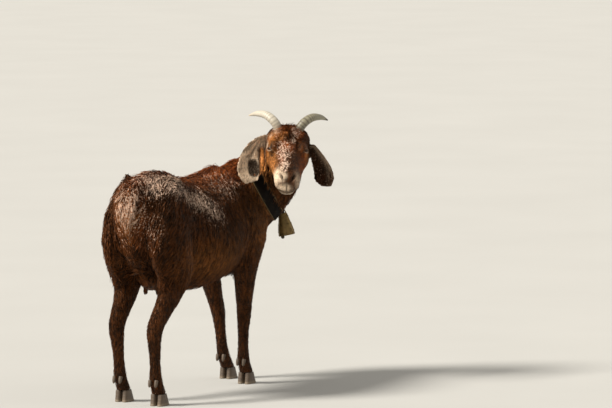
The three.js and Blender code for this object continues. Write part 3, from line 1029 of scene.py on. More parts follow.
@dataclass
class Skin:
    """The one skin over all the flesh, remeshed from the CAD nodes and modelled in code."""

    head: HeadFrame
    voxel: float = 3.0 * MM
    overlap: float = 0.5 * MM
    body_triangles: int = 57_000
    eye_radius: float = 13.3 * MM
    gaze: float = math.radians(42)
    lid_thickness: float = 1.5 * MM
    lid_reach: float = 52.0
    eye_sink: float = 2.0 * MM
    ear_hollow: Triple = (224, -16, 651)
    ear_edge: float = 128.4
    ear_spots: int = 130
    spot_size: float = 3.0 * MM
    view_right: Triple = (0.4384, -0.8988, 0.0)
    right_ear_root: Triple = (0.249, -0.031, 0.745)
    left_shoulder: Triple = (318, 178, 530)
    piece: Piece = field(init=False)

    def raw(self) -> Piece:
        """Merges copies of the flesh and eyes, swollen just enough to close the cuts.

        Returns:
            The copies as one object.
        """
        whole = bpy.data.meshes.new("skin")
        with edited(whole) as work:
            for name in FLESH + ("eye_left", "eye_right"):
                mesh = NODES[name].data.copy()
                with edited(mesh) as part:
                    bmesh.ops.remove_doubles(part, verts=part.verts, dist=1e-6)
                    part.normal_update()
                    for vertex in part.verts:
                        vertex.co += vertex.normal * self.overlap
                work.from_mesh(mesh)
                bpy.data.meshes.remove(mesh)
        return linked("skin", whole)

    def remesh(self) -> None:
        """Makes one even surface of the raw flesh, finer on the head and coarser on the body."""
        modifier = self.piece.modifiers.new("remesh", "REMESH")
        modifier.mode = "VOXEL"
        modifier.voxel_size = self.voxel
        applied(self.piece)
        mesh = self.piece.data
        cloth = Cloth.of(mesh)
        points = points_of(mesh)
        for _ in range(14):
            points = cloth.spread(points, 1, share=0.55)
            points = cloth.spread(points, 1, share=-0.57)
        mesh.vertices.foreach_set("co", points.ravel())
        mesh.update()
        self.refine_head()
        self.coarsen_body()

    def on_head(self, points: Array, margin: float = 0.0) -> Array:
        """Which points belong to the face and skull."""
        along, above, left = self.head.local(points).T
        return (np.abs(left) < 82 + margin) & (along > -28 - margin) & (above > -100 - margin)

    def refine_head(self) -> None:
        """Splits the faces of the head in four, and those round the eyes in sixteen."""
        with edited(self.piece.data) as work:
            centres = np.array([face.calc_center_median() for face in work.faces])
            local = self.head.local(centres)
            chosen = self.on_head(centres) & (local[:, 0] > 40) & (local[:, 1] > -70)
            edges = {edge for face, pick in zip(work.faces, chosen) if pick for edge in face.edges}
            bmesh.ops.subdivide_edges(work, edges=list(edges), cuts=1, use_grid_fill=True)
            bmesh.ops.triangulate(work, faces=work.faces)
            eyes = [Vector(self.eye_axes(side)[0]) for side in Side]
            close = {edge for edge in work.edges
                     if min((edge.verts[0].co - eye).length for eye in eyes) < self.eye_radius * 1.7}
            bmesh.ops.subdivide_edges(work, edges=list(close), cuts=1, use_grid_fill=True)
            bmesh.ops.triangulate(work, faces=work.faces)

    def coarsen_body(self) -> None:
        """Takes triangles out of the body and leaves the head and ears as they are."""
        mesh = self.piece.data
        points = points_of(mesh)
        fine = self.on_head(points, margin=6)
        for name in ("ear_left", "ear_right"):
            low, high = node_box(name)
            fine |= ((points > low - 2 * MM) & (points < high + 2 * MM)).all(axis=1)
        group = self.piece.vertex_groups.new(name="body")
        group.add([int(i) for i in np.flatnonzero(~fine)], 1.0, "REPLACE")
        body = int((~fine)[corners_of(mesh)].all(axis=1).sum())
        total = len(mesh.polygons)
        modifier = self.piece.modifiers.new("fewer", "DECIMATE")
        modifier.ratio = min(1.0, (total - body + self.body_triangles) / total)
        modifier.vertex_group = group.name
        modifier.vertex_group_factor = 10.0
        applied(self.piece)
        self.piece.vertex_groups.clear()

    def part_weights(self) -> Array:
        """Soft share of each part of FLESH at every point.

        Returns:
            A row for each point, which sums to 1.
        """
        tree, owners = search_tree(*FLESH)
        self.part = owners[[tree.find_nearest(Vector(p))[2] for p in self.points]]
        hard = np.zeros((len(self.points), len(FLESH)))
        hard[np.arange(len(self.points)), self.part] = 1.0
        return self.cloth.spread(hard, 12)

    def weight(self, name: str) -> Array:
        """Soft share of one part of FLESH at every point."""
        return self.weights[:, FLESH.index(name)]

    def under_collar(self) -> Array:
        """How closely the collar covers each point.

        Returns:
            The cover, from 0 to 1.
        """
        tree, _ = search_tree("collar")
        low, high = node_box("collar")
        covered = np.zeros(len(self.points))
        margin = 20 * MM
        close = ((self.points > low - margin) & (self.points < high + margin)).all(axis=1)
        for i in np.flatnonzero(close):
            distance = tree.find_nearest(Vector(self.points[i]))[3]
            covered[i] = 1 - ease(2 * MM, 6 * MM, np.array(distance))
        return covered

    def sink(self) -> None:
        """Lowers the skin by the depth of the coat that lies on it."""
        depth = self.weights @ np.array([GROWTHS[name].depth for name in FLESH])
        depth = np.where(self.covered > 0, depth * (1 - self.covered) + 0.7 * self.covered, depth)
        low_leg = 1 - ease(0.12, 0.36, self.points[:, 2])
        depth = depth * (1 - 0.55 * low_leg)
        self.points -= self.normals * (depth * MM)[:, None]

    def shift(self, height: Array, way: Array | None = None) -> None:
        """Moves each point by a height in millimetres, along its normal or a given way."""
        self.moves += (self.normals if way is None else way) * (height * MM)[:, None]

    def press(self, where: Array, centre: Triple, radii: Triple, height: float,
              way: Array | None = None) -> None:
        """Raises or hollows a soft ellipsoidal patch.

        Args:
            where: Coordinates of the points in the patch's own frame, in millimetres.
            centre: Middle of the patch.
            radii: Its reach along each axis.
            height: How far it rises, or sinks where negative, in millimetres.
            way: The way it moves; along the normals when left out.
        """
        self.shift(blob(where, centre, radii) * height, way)

    def trace(self, where: Array, radius: float, height: float, *path: Triple,
              paint: float = 0.0) -> None:
        """Raises a ridge, or cuts a groove, along a smooth path laid onto the skin.

        Args:
            where: Coordinates of the points in the path's frame, in millimetres.
            radius: Half width of the ridge, which fades at both ends.
            height: How far it rises, or sinks where negative, in millimetres.
            path: Points near which it passes; each is first moved onto the skin.
            paint: How much painted shade darkens it and keeps hair off.
        """
        stations = np.array([where[np.argmin(np.linalg.norm(where - np.array(p), axis=1))]
                             for p in path])
        course = spline(stations, np.linspace(0, len(stations) - 1, 9 * len(stations)))
        near = np.full(len(where), np.inf)
        share = np.zeros(len(where))
        ends = 0.35 + 0.65 * np.sin(np.linspace(0.12, math.pi - 0.12, len(course)))
        for point, end in zip(course, ends):
            distance = np.linalg.norm(where - point, axis=1)
            share = np.where(distance < near, end, share)
            near = np.minimum(distance, near)
        share = share * bell_curve(near / radius)
        self.shift(share * height)
        self.shade = np.maximum(self.shade, share * paint)

    def commit(self) -> None:
        """Applies the moves so far and works out the normals again."""
        self.points += self.moves
        self.moves = np.zeros_like(self.points)
        mesh = self.piece.data
        mesh.vertices.foreach_set("co", self.points.ravel())
        mesh.update()
        self.normals = read(mesh.vertex_normals, "vector")

    def model_face(self) -> None:
        """Brow, cheeks, lips and jaw, on both halves alike."""
        half = self.head.local(self.points)
        inward = -self.head.left * np.sign(half[:, 2:3])
        half[:, 2] = np.abs(half[:, 2])
        half[self.part != FLESH.index("head")] = FAR
        for centre, radii, height, way in (
                ((225, -10, 44), (34, 44, 22), 4.5, inward),
                ((170, -30, 46), (40, 40, 20), 2.5, inward),
                ((66, 42, 46), (22, 16, 16), 5.5, None),
                ((98, 40, 42), (18, 8, 10), 3.2, None),
                ((100, 4, 58), (22, 9, 12), 2.6, None),
                ((124, 20, 46), (14, 9, 9), -3.0, None),
                ((150, 20, 44), (36, 9, 12), -2.6, None),
                ((55, 12, 66), (16, 16, 12), -3.0, None),
                ((66, -46, 60), (34, 28, 16), 4.0, None),
                ((128, -44, 44), (26, 20, 14), -2.4, None),
                ((218, -10, 36), (17, 14, 12), 3.0, None),
                ((236, -12, 18), (12, 12, 12), 2.0, None)):
            self.press(half, centre, radii, height, way)
        self.trace(half, 5, -3.4, (24, 58, 36), (56, 56, 31), (92, 46, 29), (122, 38, 30))
        self.trace(half, 6, 2.2, (106, -6, 62), (136, -8, 54), (166, -9, 48), (188, -8, 44))
        self.trace(half, 9, 2.0, (20, 60, 12), (50, 60, 13), (84, 50, 18))
        self.trace(half, 5, -3.0, (14, 62, 0), (50, 60, 0), (88, 50, 0))
        self.commit()
        self.model_muzzle(half)

    def model_muzzle(self, half: Array) -> None:
        """Nostrils, the cleft lip, the line of the mouth and the chin.

        Args:
            half: Coordinates on the head, the same on both halves.
        """
        self.trace(half, 4.2, 2.6, (214, 22, 27), (226, 20, 19), (236, 13, 9))
        self.trace(half, 4.2, 1.8, (216, 8, 31), (226, 2, 27), (236, -4, 16))
        self.commit()
        # Painted shade in the nostrils, down the cleft lip and along the mouth line.
        self.trace(half, 3.0, -5.0, (223, 15, 26), (229, 12, 21), (234, 7, 16), (239, 1, 12),
                   paint=1.0)
        self.trace(half, 4.0, -4.5, (226, 14, 23), (231, 10, 19), (234, 7, 16), paint=1.0)
        self.trace(half, 2.2, -2.4, (243, -6, 0), (246, -18, 0), (246, -30, 0), paint=0.75)
        self.trace(half, 2.4, -4.6, (247, -33, 0), (244, -32, 14), (236, -31, 25), (216, -33, 35),
                   (194, -36, 40), paint=1.0)
        self.trace(half, 5.0, 2.2, (246, -24, 6), (238, -23, 22), (218, -25, 36))
        self.trace(half, 4.5, 2.4, (243, -42, 3), (234, -44, 15), (216, -46, 25))
        self.press(half, (230, -52, 0), (20, 10, 20), 7.0, -self.head.brow)
        self.commit()

    def eye_axes(self, side: Side) -> tuple[Array, Array, Array, Array]:
        """Centre of an eye, the way it looks, its upward axis and the axis towards the nose.

        Args:
            side: Which eye.

        Returns:
            The four vectors.
        """
        out = self.head.left * side.value
        look = unit(self.head.facing * math.cos(self.gaze) + out * math.sin(self.gaze))
        centre = node_centre(f"eye_{side.label}") - look * self.eye_sink
        upward = unit(UP - look * (UP @ look))
        return centre, look, upward, np.cross(upward, look) * side.value

    def model_lids(self, side: Side) -> None:
        """Wraps the skin round an eyeball as two lids, open in an almond between them.

        Args:
            side: Which eye.
        """
        centre, look, upward, nasal = self.eye_axes(side)
        offset = self.points - centre
        distance = np.linalg.norm(offset, axis=1)
        way = offset / distance[:, None]
        across = np.degrees(np.arctan2(way @ nasal, way @ look))
        height = np.degrees(np.arctan2(way @ upward, way @ look))
        lean = -0.16 * across
        width = np.clip(np.abs(across) / self.lid_reach, 0, 1)
        upper = 15 * (1 - width ** 2.0) + lean
        lower = -19 * (1 - width ** 1.7) + lean
        outside = np.maximum(np.maximum(height - upper, lower - height),
                             np.abs(across) - self.lid_reach)
        near = (way @ look > 0.10) & (distance < self.eye_radius * 1.8)
        above = height > lean
        lid = ease(-2.5, 3.5, outside)
        hood = bell_curve((height - upper - 10) / 9) * above * ease(75, 30, np.abs(across))
        bag = bell_curve((lower - height - 8) / 7) * ~above
        fold = bell_curve((height - upper - 27) / 5) * above
        crease = bell_curve((lower - height - 20) / 5) * ~above
        layers = self.lid_thickness * lid + (1.7 * hood + 0.7 * bag - 1.8 * fold - 0.9 * crease) * MM
        inside = self.eye_radius * 0.80
        wanted = inside + (self.eye_radius + layers - inside) * lid
        share = np.where(near, np.maximum(1 - ease(16, 46, outside), 1 - lid), 0.0)
        pull = np.where((wanted > distance) | (outside < 10), 1.0, 0.35)
        self.moves += way * ((wanted - distance) * share * pull)[:, None]
        pale = bell_curve((outside - 5) / 6) * np.where(above, 0.25, 1.0)
        self.lids = np.maximum(self.lids, near * pale)
        self.shade = np.maximum(self.shade, near * (1 - ease(1.5, 4.5, outside)) * 0.9)
        self.bare = np.maximum(self.bare, near * (1 - ease(6, 13, outside)))

    def model_body(self) -> None:
        """Bones, hollows and folds of the trunk and legs."""
        where = self.points / MM
        where[self.part == FLESH.index("head")] = FAR
        for side in (1, -1):
            for x, aside, z, radii, height in (
                    (-215, 58, 650, (26, 20, 18), 5.0), (-357, 42, 604, (20, 18, 22), 5.0),
                    (-165, 92, 605, (42, 26, 44), -8.0), (-205, 112, 470, (26, 20, 56), -3.5),
                    (40, 96, 540, (60, 30, 26), 3.0)):
                self.press(where, (x, MIDDLE + side * aside, z), radii, height)
            for radius, height, *path in (
                    (13, 4.5, (-262, 80, 628), (-214, 105, 570), (-196, 112, 500)),
                    (12, -4.0, (-236, 88, 606), (-192, 108, 556)),
                    (15, 3.5, (150, 40, 640), (176, 96, 560), (210, 108, 500)),
                    (14, -4.0, (80, 108, 540), (96, 122, 470), (60, 118, 410))):
                self.trace(where, radius, height, *((x, MIDDLE + side * y, z) for x, y, z in path))
        self.trace(where, 12, 2.2, (-300, MIDDLE, 672), (-120, MIDDLE, 640), (60, MIDDLE, 640),
                   (170, MIDDLE, 655))
        self.press(where, (314, 178, 536), (60, 56, 54), -9.0)
        self.commit()

    def model_folds(self) -> None:
        """Folds of loose skin behind the right jaw, and fine ones down the neck and shoulder, with a
        painted highlight on each crest and painted shade in each trough.
        """
        across = self.points @ np.array(self.view_right) / MM
        window = blob(self.head.local(self.points), (57, -68, -59), (42, 46, 26))
        window = window * (self.weight("neck") + self.weight("head"))
        wave = np.cos(across * (2 * math.pi / 14) + 1.2)
        self.shift(wave * window * 4.0)
        self.gleam = np.maximum(self.gleam, window * np.clip(0.45 + 0.6 * wave, 0, 1) * 0.9)
        self.shade = np.maximum(self.shade, window * np.clip(-wave, 0, 1) * 0.75)
        window = blob(self.points / MM, (190, -40, 530), (120, 70, 110), 1.5)
        window = window * ease(0.3, -0.2, self.normals[:, 1])
        sway = 6 * np.sin(self.points[:, 2] * 31) + 4 * np.sin(self.points[:, 2] * 71 + 2)
        wave = np.cos((across + sway) * (2 * math.pi / 16)) * (0.7 + 0.3 * np.cos(across / 9))
        self.shift(wave * window * 1.3)
        self.gleam = np.maximum(self.gleam, window * np.clip(wave, 0, 1) * 0.4)
        self.shade = np.maximum(self.shade, window * np.clip(-wave, 0, 1) * 0.5)
        self.commit()

    def ear_fan(self) -> Array:
        """Wave that fans out from the root of the right ear, for its inner ridges.

        Returns:
            The wave at each point, from -1 to 1.
        """
        offset = self.points - np.array(self.right_ear_root)
        turn = np.arctan2(offset @ np.array(self.view_right), -offset[:, 2])
        return np.cos(17.0 * turn + 5.93)

    def ear_drop(self, side: Side) -> Array:
        """How far each point lies down an ear, from 0 at its root to 1 at its tip."""
        low, high = node_box(f"ear_{side.label}")
        return (high[2] - self.points[:, 2]) / (high[2] - low[2])

    def ear_well(self) -> Array:
        """How far each point lies in the hollow of the right ear, which gets a painted shadow.

        Returns:
            The share, from 0 to 1.
        """
        hollow = self.points / MM - np.array(self.ear_hollow)
        across, height = hollow @ np.array(self.view_right), hollow[:, 2]
        shape = np.abs((across + 0.10 * height) / 16.5) ** 3.2 + np.abs(height / 27) ** 3.2
        return 1 - ease(0.6, 1.25, shape)

    def model_ears(self) -> None:
        """Ridges and a hollow inside, a lobe that curls forward, and a narrower right ear."""
        facing = self.head.facing
        for side in Side:
            mine = self.weight(f"ear_{side.label}")
            drop = self.ear_drop(side)
            inner = ease(0.0, 0.4, self.normals @ facing)
            self.shift(mine * ease(0.72, 0.98, drop) * 8.0, facing)
            if side is Side.RIGHT:
                place = self.points @ np.array(self.view_right) / MM
                own = mine * inner * ease(self.ear_edge + 1, self.ear_edge - 5, place)
                ridge = self.ear_fan() * (1 - ease(0.35, 0.6, drop)) * own
                self.shift(ridge * 1.8 - self.ear_well() * own * 4.0, facing)
                self.fold_behind_ear(place, mine * inner)
            else:
                self.press(self.points / MM, (328, -218, 621), (13, 13, 22), 8.0,
                           facing * mine[:, None])
        self.commit()

    def fold_behind_ear(self, place: Array, share: Array) -> None:
        """Fold of loose skin along the ear's rear edge, parted from the ear by a deep crease, with a
        painted highlight on its crest and painted shade in the crease and the nick.

        Args:
            place: How far right each point lies, in millimetres.
            share: How far each point belongs to the ear's inner side.
        """
        height = self.points[:, 2] / MM
        reach = ease(606, 622, height) * ease(722, 706, height) * share
        beyond = place - 0.02 * (660 - height) - self.ear_edge
        crease = bell_curve((beyond - 1.5) / 2.6) * reach
        ridge = bell_curve((beyond - 10) / 6.5) * reach
        nick = bell_curve((beyond - 20) / 2.4) * reach
        self.shift(3.0 * ridge - 3.2 * crease - 2.0 * nick, self.head.facing)
        self.beyond_ear = np.maximum(self.beyond_ear, ease(0, 3, beyond) * reach)
        # Painted highlight on the crest; painted shade in the crease and the nick.
        self.gleam = np.maximum(self.gleam, ridge)
        self.shade = np.maximum(self.shade, np.maximum(crease, nick * 0.8))

    def soften_seams(self) -> None:
        """Blends the creases where trunk, legs and neck were joined."""
        names = ("trunk", "neck", "leg_front_left", "leg_front_right", "leg_hind_left",
                 "leg_hind_right", "tail")
        body = np.stack([self.weight(name) for name in names], axis=1)
        seam = np.clip((1 - body.max(axis=1)) * 2.4, 0, 1) * ease(0.9, 1.0, body.sum(axis=1))
        seam = np.maximum(seam, blob(self.points / MM, self.left_shoulder, 62))
        seam = self.cloth.spread(seam[:, None], 10)
        smooth = self.cloth.spread(self.points, 64)
        self.moves += (smooth - self.points) * np.clip(seam * 1.3, 0, 1)
        self.commit()

    def build(self) -> Piece:
        """Makes the skin.

        Returns:
            The skin, with its parts, markings and the way the hair lies as attributes.
        """
        self.piece = self.raw()
        self.remesh()
        mesh = self.piece.data
        log.info("skin remeshed to %d points", len(mesh.vertices))
        self.points = points_of(mesh)
        self.normals = read(mesh.vertex_normals, "vector")
        self.cloth = Cloth.of(mesh)
        self.moves = np.zeros_like(self.points)
        self.lids, self.bare, self.shade, self.gleam, self.beyond_ear = np.zeros(
            (5, len(self.points)))
        self.weights = self.part_weights()
        self.covered = self.under_collar()
        self.sink()
        self.soften_seams()
        self.model_body()
        self.model_face()
        self.model_ears()
        self.model_folds()
        for side in Side:
            self.model_lids(side)
        self.commit()
        self.store_marks()
        mesh.shade_smooth()
        return self.piece

    def store_marks(self) -> None:
        """Stores the shared markings, painted highlight and painted shade among them, as attributes.
        """
        on_head = self.weight("head")
        tones = {kind: np.zeros(len(self.points)) for kind in Tone}
        for table, where, share in ((HEAD_MARKS, self.head.local(self.points), on_head),
                                    (BODY_MARKS, self.points / MM, 1 - on_head)):
            for kind, marks in table.items():
                for mark in marks:
                    weight = mark.strength * blob(where, mark.centre, mark.radii, 1.5)
                    tones[kind] = np.maximum(tones[kind], weight * share)
        self.mark_ears(tones)
        tones[Tone.PALE] = np.maximum(tones[Tone.PALE], 0.45 * self.lids)
        # Painted highlights on the fold crests join the gold tone; painted shade in grooves, creases,
        # fold troughs and at the lid edges joins the dark tone.
        tones[Tone.GOLD] = np.maximum(tones[Tone.GOLD], self.gleam)
        tones[Tone.DARK] = np.maximum(tones[Tone.DARK], self.shade)
        for kind, values in tones.items():
            smooth = self.cloth.spread(values[:, None], 1)[:, 0]
            set_attribute(self.piece.data, kind.value, np.clip(smooth, 0, 1))

    def mark_ears(self, tones: dict[Tone, Array]) -> None:
        """Pale mottled inner side of the right ear, with a painted shadow in its hollow and painted
        shade between its ridges; painted shade and sheen on the left ear; a painted highlight along
        both rims.

        Args:
            tones: Strength of each tone at every point, which this raises.
        """
        forward = self.normals @ self.head.facing
        inner = ease(0.0, 0.5, forward)
        # A painted highlight along the ears' rims.
        rim_highlight = bell_curve((forward - 0.25) / 0.3)
        right, left = self.weight("ear_right"), self.weight("ear_left")
        drop = self.ear_drop(Side.RIGHT)
        spots = np.zeros(len(self.points))
        picked = np.random.default_rng(5).choice(np.flatnonzero(right > 0.6), self.ear_spots,
                                                 replace=False)
        for centre in self.points[picked]:
            spots = np.maximum(spots, blob(self.points, centre, self.spot_size))
        own = right * (1 - self.beyond_ear)
        # Painted shade in the valleys between the ridges and a painted shadow in the hollow; the spots
        # are the ear's own mottling.
        valley = np.clip(-self.ear_fan(), 0, 1) ** 2.2 * (1 - ease(0.35, 0.6, drop))
        dark = np.maximum(np.maximum(self.ear_well(), valley * 0.72), spots * 0.6) * own * inner
        # The left ear is darkened with painted shade and given a painted sheen.
        for kind, values in (
                (Tone.PALE, own * np.maximum(inner, rim_highlight)), (Tone.FROST, own * inner * 0.8),
                (Tone.DARK, dark), (Tone.GOLD, own * ease(0.78, 0.95, drop) * 0.3),
                (Tone.DARK, left * (0.46 - 0.3 * rim_highlight)), (Tone.FROST, left * 0.2),
                (Tone.PALE, left * rim_highlight * 0.5), (Tone.RUST, (1 - inner) * (right + left) * 0.5)):
            tones[kind] = np.maximum(tones[kind], values)


# Finish of skin and coat --------------------------------------------------------------------------


@dataclass(frozen=True)
class HairFinish(Finish):
    """Colour of the coat, worked out from the shared markings, painted highlight, sheen and shade
    among them; the skin under it uses it too.
    """

    deep: Colour = tone(30, 15, 6)
    brown: Colour = tone(102, 59, 29)
    rust: Colour = tone(164, 87, 42)
    gold: Colour = tone(226, 148, 80)
    pale: Colour = tone(250, 224, 192)
    frost: Colour = tone(234, 204, 180)
    black: Colour = tone(24, 13, 7)
    gleam: Colour = tone(255, 214, 178)
    loose: bool = True
    roughness: float = 0.42
    streaks: Triple = (120.0, 120.0, 12.0)
    grain: float = 190.0

    def paint(self, graph: Graph) -> dict[str, Any]:
        """Sockets of the shader, from the markings of a mesh.

        Args:
            graph: Where the nodes go.

        Returns:
            Values and links by socket name.
        """
        cloud = graph.noise(30.0, 3.0) - 0.5
        fine = graph.attribute("tint") if self.loose else graph.noise(420.0, 2.0, 0.6)
        reach = graph.attribute("along") if self.loose else 0.5
        tones = {kind: graph.attribute(kind.value) for kind in Tone}
        streak = graph.noise(1.0, 2.0, 0.55, graph.stretched(self.streaks)) - 0.5
        speck = graph.noise(self.grain, 1.0) - 0.5
        light = (fine * 1.1 + cloud * 0.9 + streak * 1.5 + speck + reach * 0.35 - 0.38).clamped()
        vary = streak * 1.4 + speck * 1.6
        frost_and_sheen_share = tones[Tone.FROST]
        chosen = (frost_and_sheen_share * 0.8 + (fine - 0.5) * 0.8 + speck * 2.4 - 0.53).step(0.0, 0.2)
        colour = graph.mix(light, self.deep, self.brown)
        # The gold mix holds painted highlights on fold crests, the pale grey mix lays painted sheen on
        # a share of the locks, and the dark mix lays painted shade as well as dark hair.
        for share, over in (
                ((tones[Tone.RUST] * (0.25 + light * 1.1)).clamped(), self.rust),
                ((tones[Tone.GOLD] * (0.3 + fine * 0.9 + vary)).clamped(), self.gold),
                (chosen * (frost_and_sheen_share * 8.0).clamped() * (0.5 + frost_and_sheen_share * 0.4), self.frost),
                ((tones[Tone.PALE] * (0.55 + fine * 0.7 + vary * 0.6)).clamped(), self.pale),
                ((tones[Tone.DARK] * (1.3 - fine * 0.6)).clamped(), self.black)):
            colour = graph.mix(share, colour, over)
        sockets = {"Base Color": colour, "Roughness": fine * 0.2 + self.roughness,
                   "Specular IOR Level": 0.3, "Specular Tint": self.gleam}
        if not self.loose:
            nap = graph.noise(900.0, 3.0, 0.6, graph.stretched((1, 1, 0.35)))
            sockets["Normal"] = graph.bump(nap, 0.9 * MM, 0.8)
        return sockets


# Coat ---------------------------------------------------------------------------------------------


@dataclass(frozen=True)
class Lock:
    """One lock of hair of length 1 along +Y: a closed three-sided blade that tapers and bows."""

    places: tuple[float, ...] = (0.0, 0.36, 0.74)
    widths: tuple[float, ...] = (0.7, 1.0, 0.72)
    rises: tuple[float, ...] = (-0.03, 0.075, 0.095)
    tip_rise: float = 0.07
    tip_aside: float = 0.06
    thickness: float = 0.026

    def build(self, name: str) -> Piece:
        """The lock as an object, with its own place along the hair and patch of the bake map.

        Args:
            name: Name of the object.

        Returns:
            The object.
        """
        points = []
        for place, width, rise in zip(self.places, self.widths, self.rises):
            for x, z in ((-0.5, 0.0), (0.5, 0.0), (0.0, 1.0)):
                points.append((x * width + self.tip_aside * place * place, place,
                               rise + z * width * self.thickness))
        points.append((self.tip_aside, 1.0, self.tip_rise))
        tip = len(points) - 1
        faces = [(0, 1, 2)]
        for here in range(0, tip - 3, 3):
            for k in range(3):
                after = (k + 1) % 3
                faces.append((here + k, here + 3 + k, here + 3 + after, here + after))
        faces += [(tip - 3 + k, tip, tip - 3 + (k + 1) % 3) for k in range(3)]
        made = closed_mesh(name, points, faces)
        along = np.array(points)[:, 1]
        around = np.array([(0.0, 1.0, 0.5)[k % 3] for k in range(tip)] + [0.5])
        set_attribute(made.data, "along", along)
        set_attribute(made.data, "patch", np.stack((around, along, 0 * along), axis=1))
        return made


LONG_LOCKS = (
    Lock(tip_aside=0.05),
    Lock(tip_aside=-0.07, tip_rise=0.045),
    Lock(tip_aside=0.0, rises=(-0.03, 0.06, 0.10), tip_rise=0.12),
    Lock(tip_aside=0.10, widths=(0.6, 0.8, 0.5), tip_rise=0.09),
)
SHORT_LOCKS = (
    Lock((0.0, 0.46), (0.9, 0.85), (-0.04, 0.08), 0.09, 0.05, 0.035),
    Lock((0.0, 0.46), (0.9, 0.75), (-0.04, 0.06), 0.05, -0.07, 0.035),
)
LENGTHWISE = (1.0, 0.0, 0.0)
UPRIGHT = (0.0, 0.0, 1.0)


@dataclass(frozen=True)
class Patch:
    """One piece of the coat: where it grows and how its locks vary."""

    name: str
    locks: tuple[Lock, ...] = LONG_LOCKS
    crowd: float = 1.0
    length: float = 1.0
    width: float = 1.0
    unrest: float = 0.28
    cling: float = 0.85
    lift: float = 0.0
    axis: Triple = UPRIGHT


PATCHES = (
    Patch("coat_back", crowd=1.15, length=1.4, width=1.05, unrest=0.34, cling=0.74, lift=0.05,
          axis=LENGTHWISE),
    Patch("coat_flank_right", crowd=1.2, axis=LENGTHWISE),
    Patch("coat_flank_left", crowd=1.2, axis=LENGTHWISE),
    Patch("coat_belly", crowd=0.45, length=1.1, cling=0.7, axis=LENGTHWISE),
    Patch("coat_rump", crowd=1.3, length=1.4, unrest=0.36, cling=0.74, lift=0.07),
    Patch("coat_thigh_right", crowd=1.35, length=1.25, unrest=0.32),
    Patch("coat_thigh_left", crowd=1.35, length=1.25, unrest=0.32),
    Patch("coat_neck", crowd=1.15, unrest=0.30, lift=0.03),
    Patch("coat_fore_upper", crowd=0.9),
    Patch("coat_fore_lower", SHORT_LOCKS, length=0.65, width=0.8),
    Patch("coat_hind_lower", SHORT_LOCKS, crowd=1.1, length=0.45, width=0.7),
    Patch("coat_head", SHORT_LOCKS, unrest=0.36, cling=0.6),
    Patch("coat_poll", length=2.6, width=1.2, unrest=0.75, cling=0.3, lift=0.5),
    Patch("coat_ears", SHORT_LOCKS, unrest=0.2, cling=0.9),
    Patch("coat_tail", unrest=0.3, cling=0.5),
)


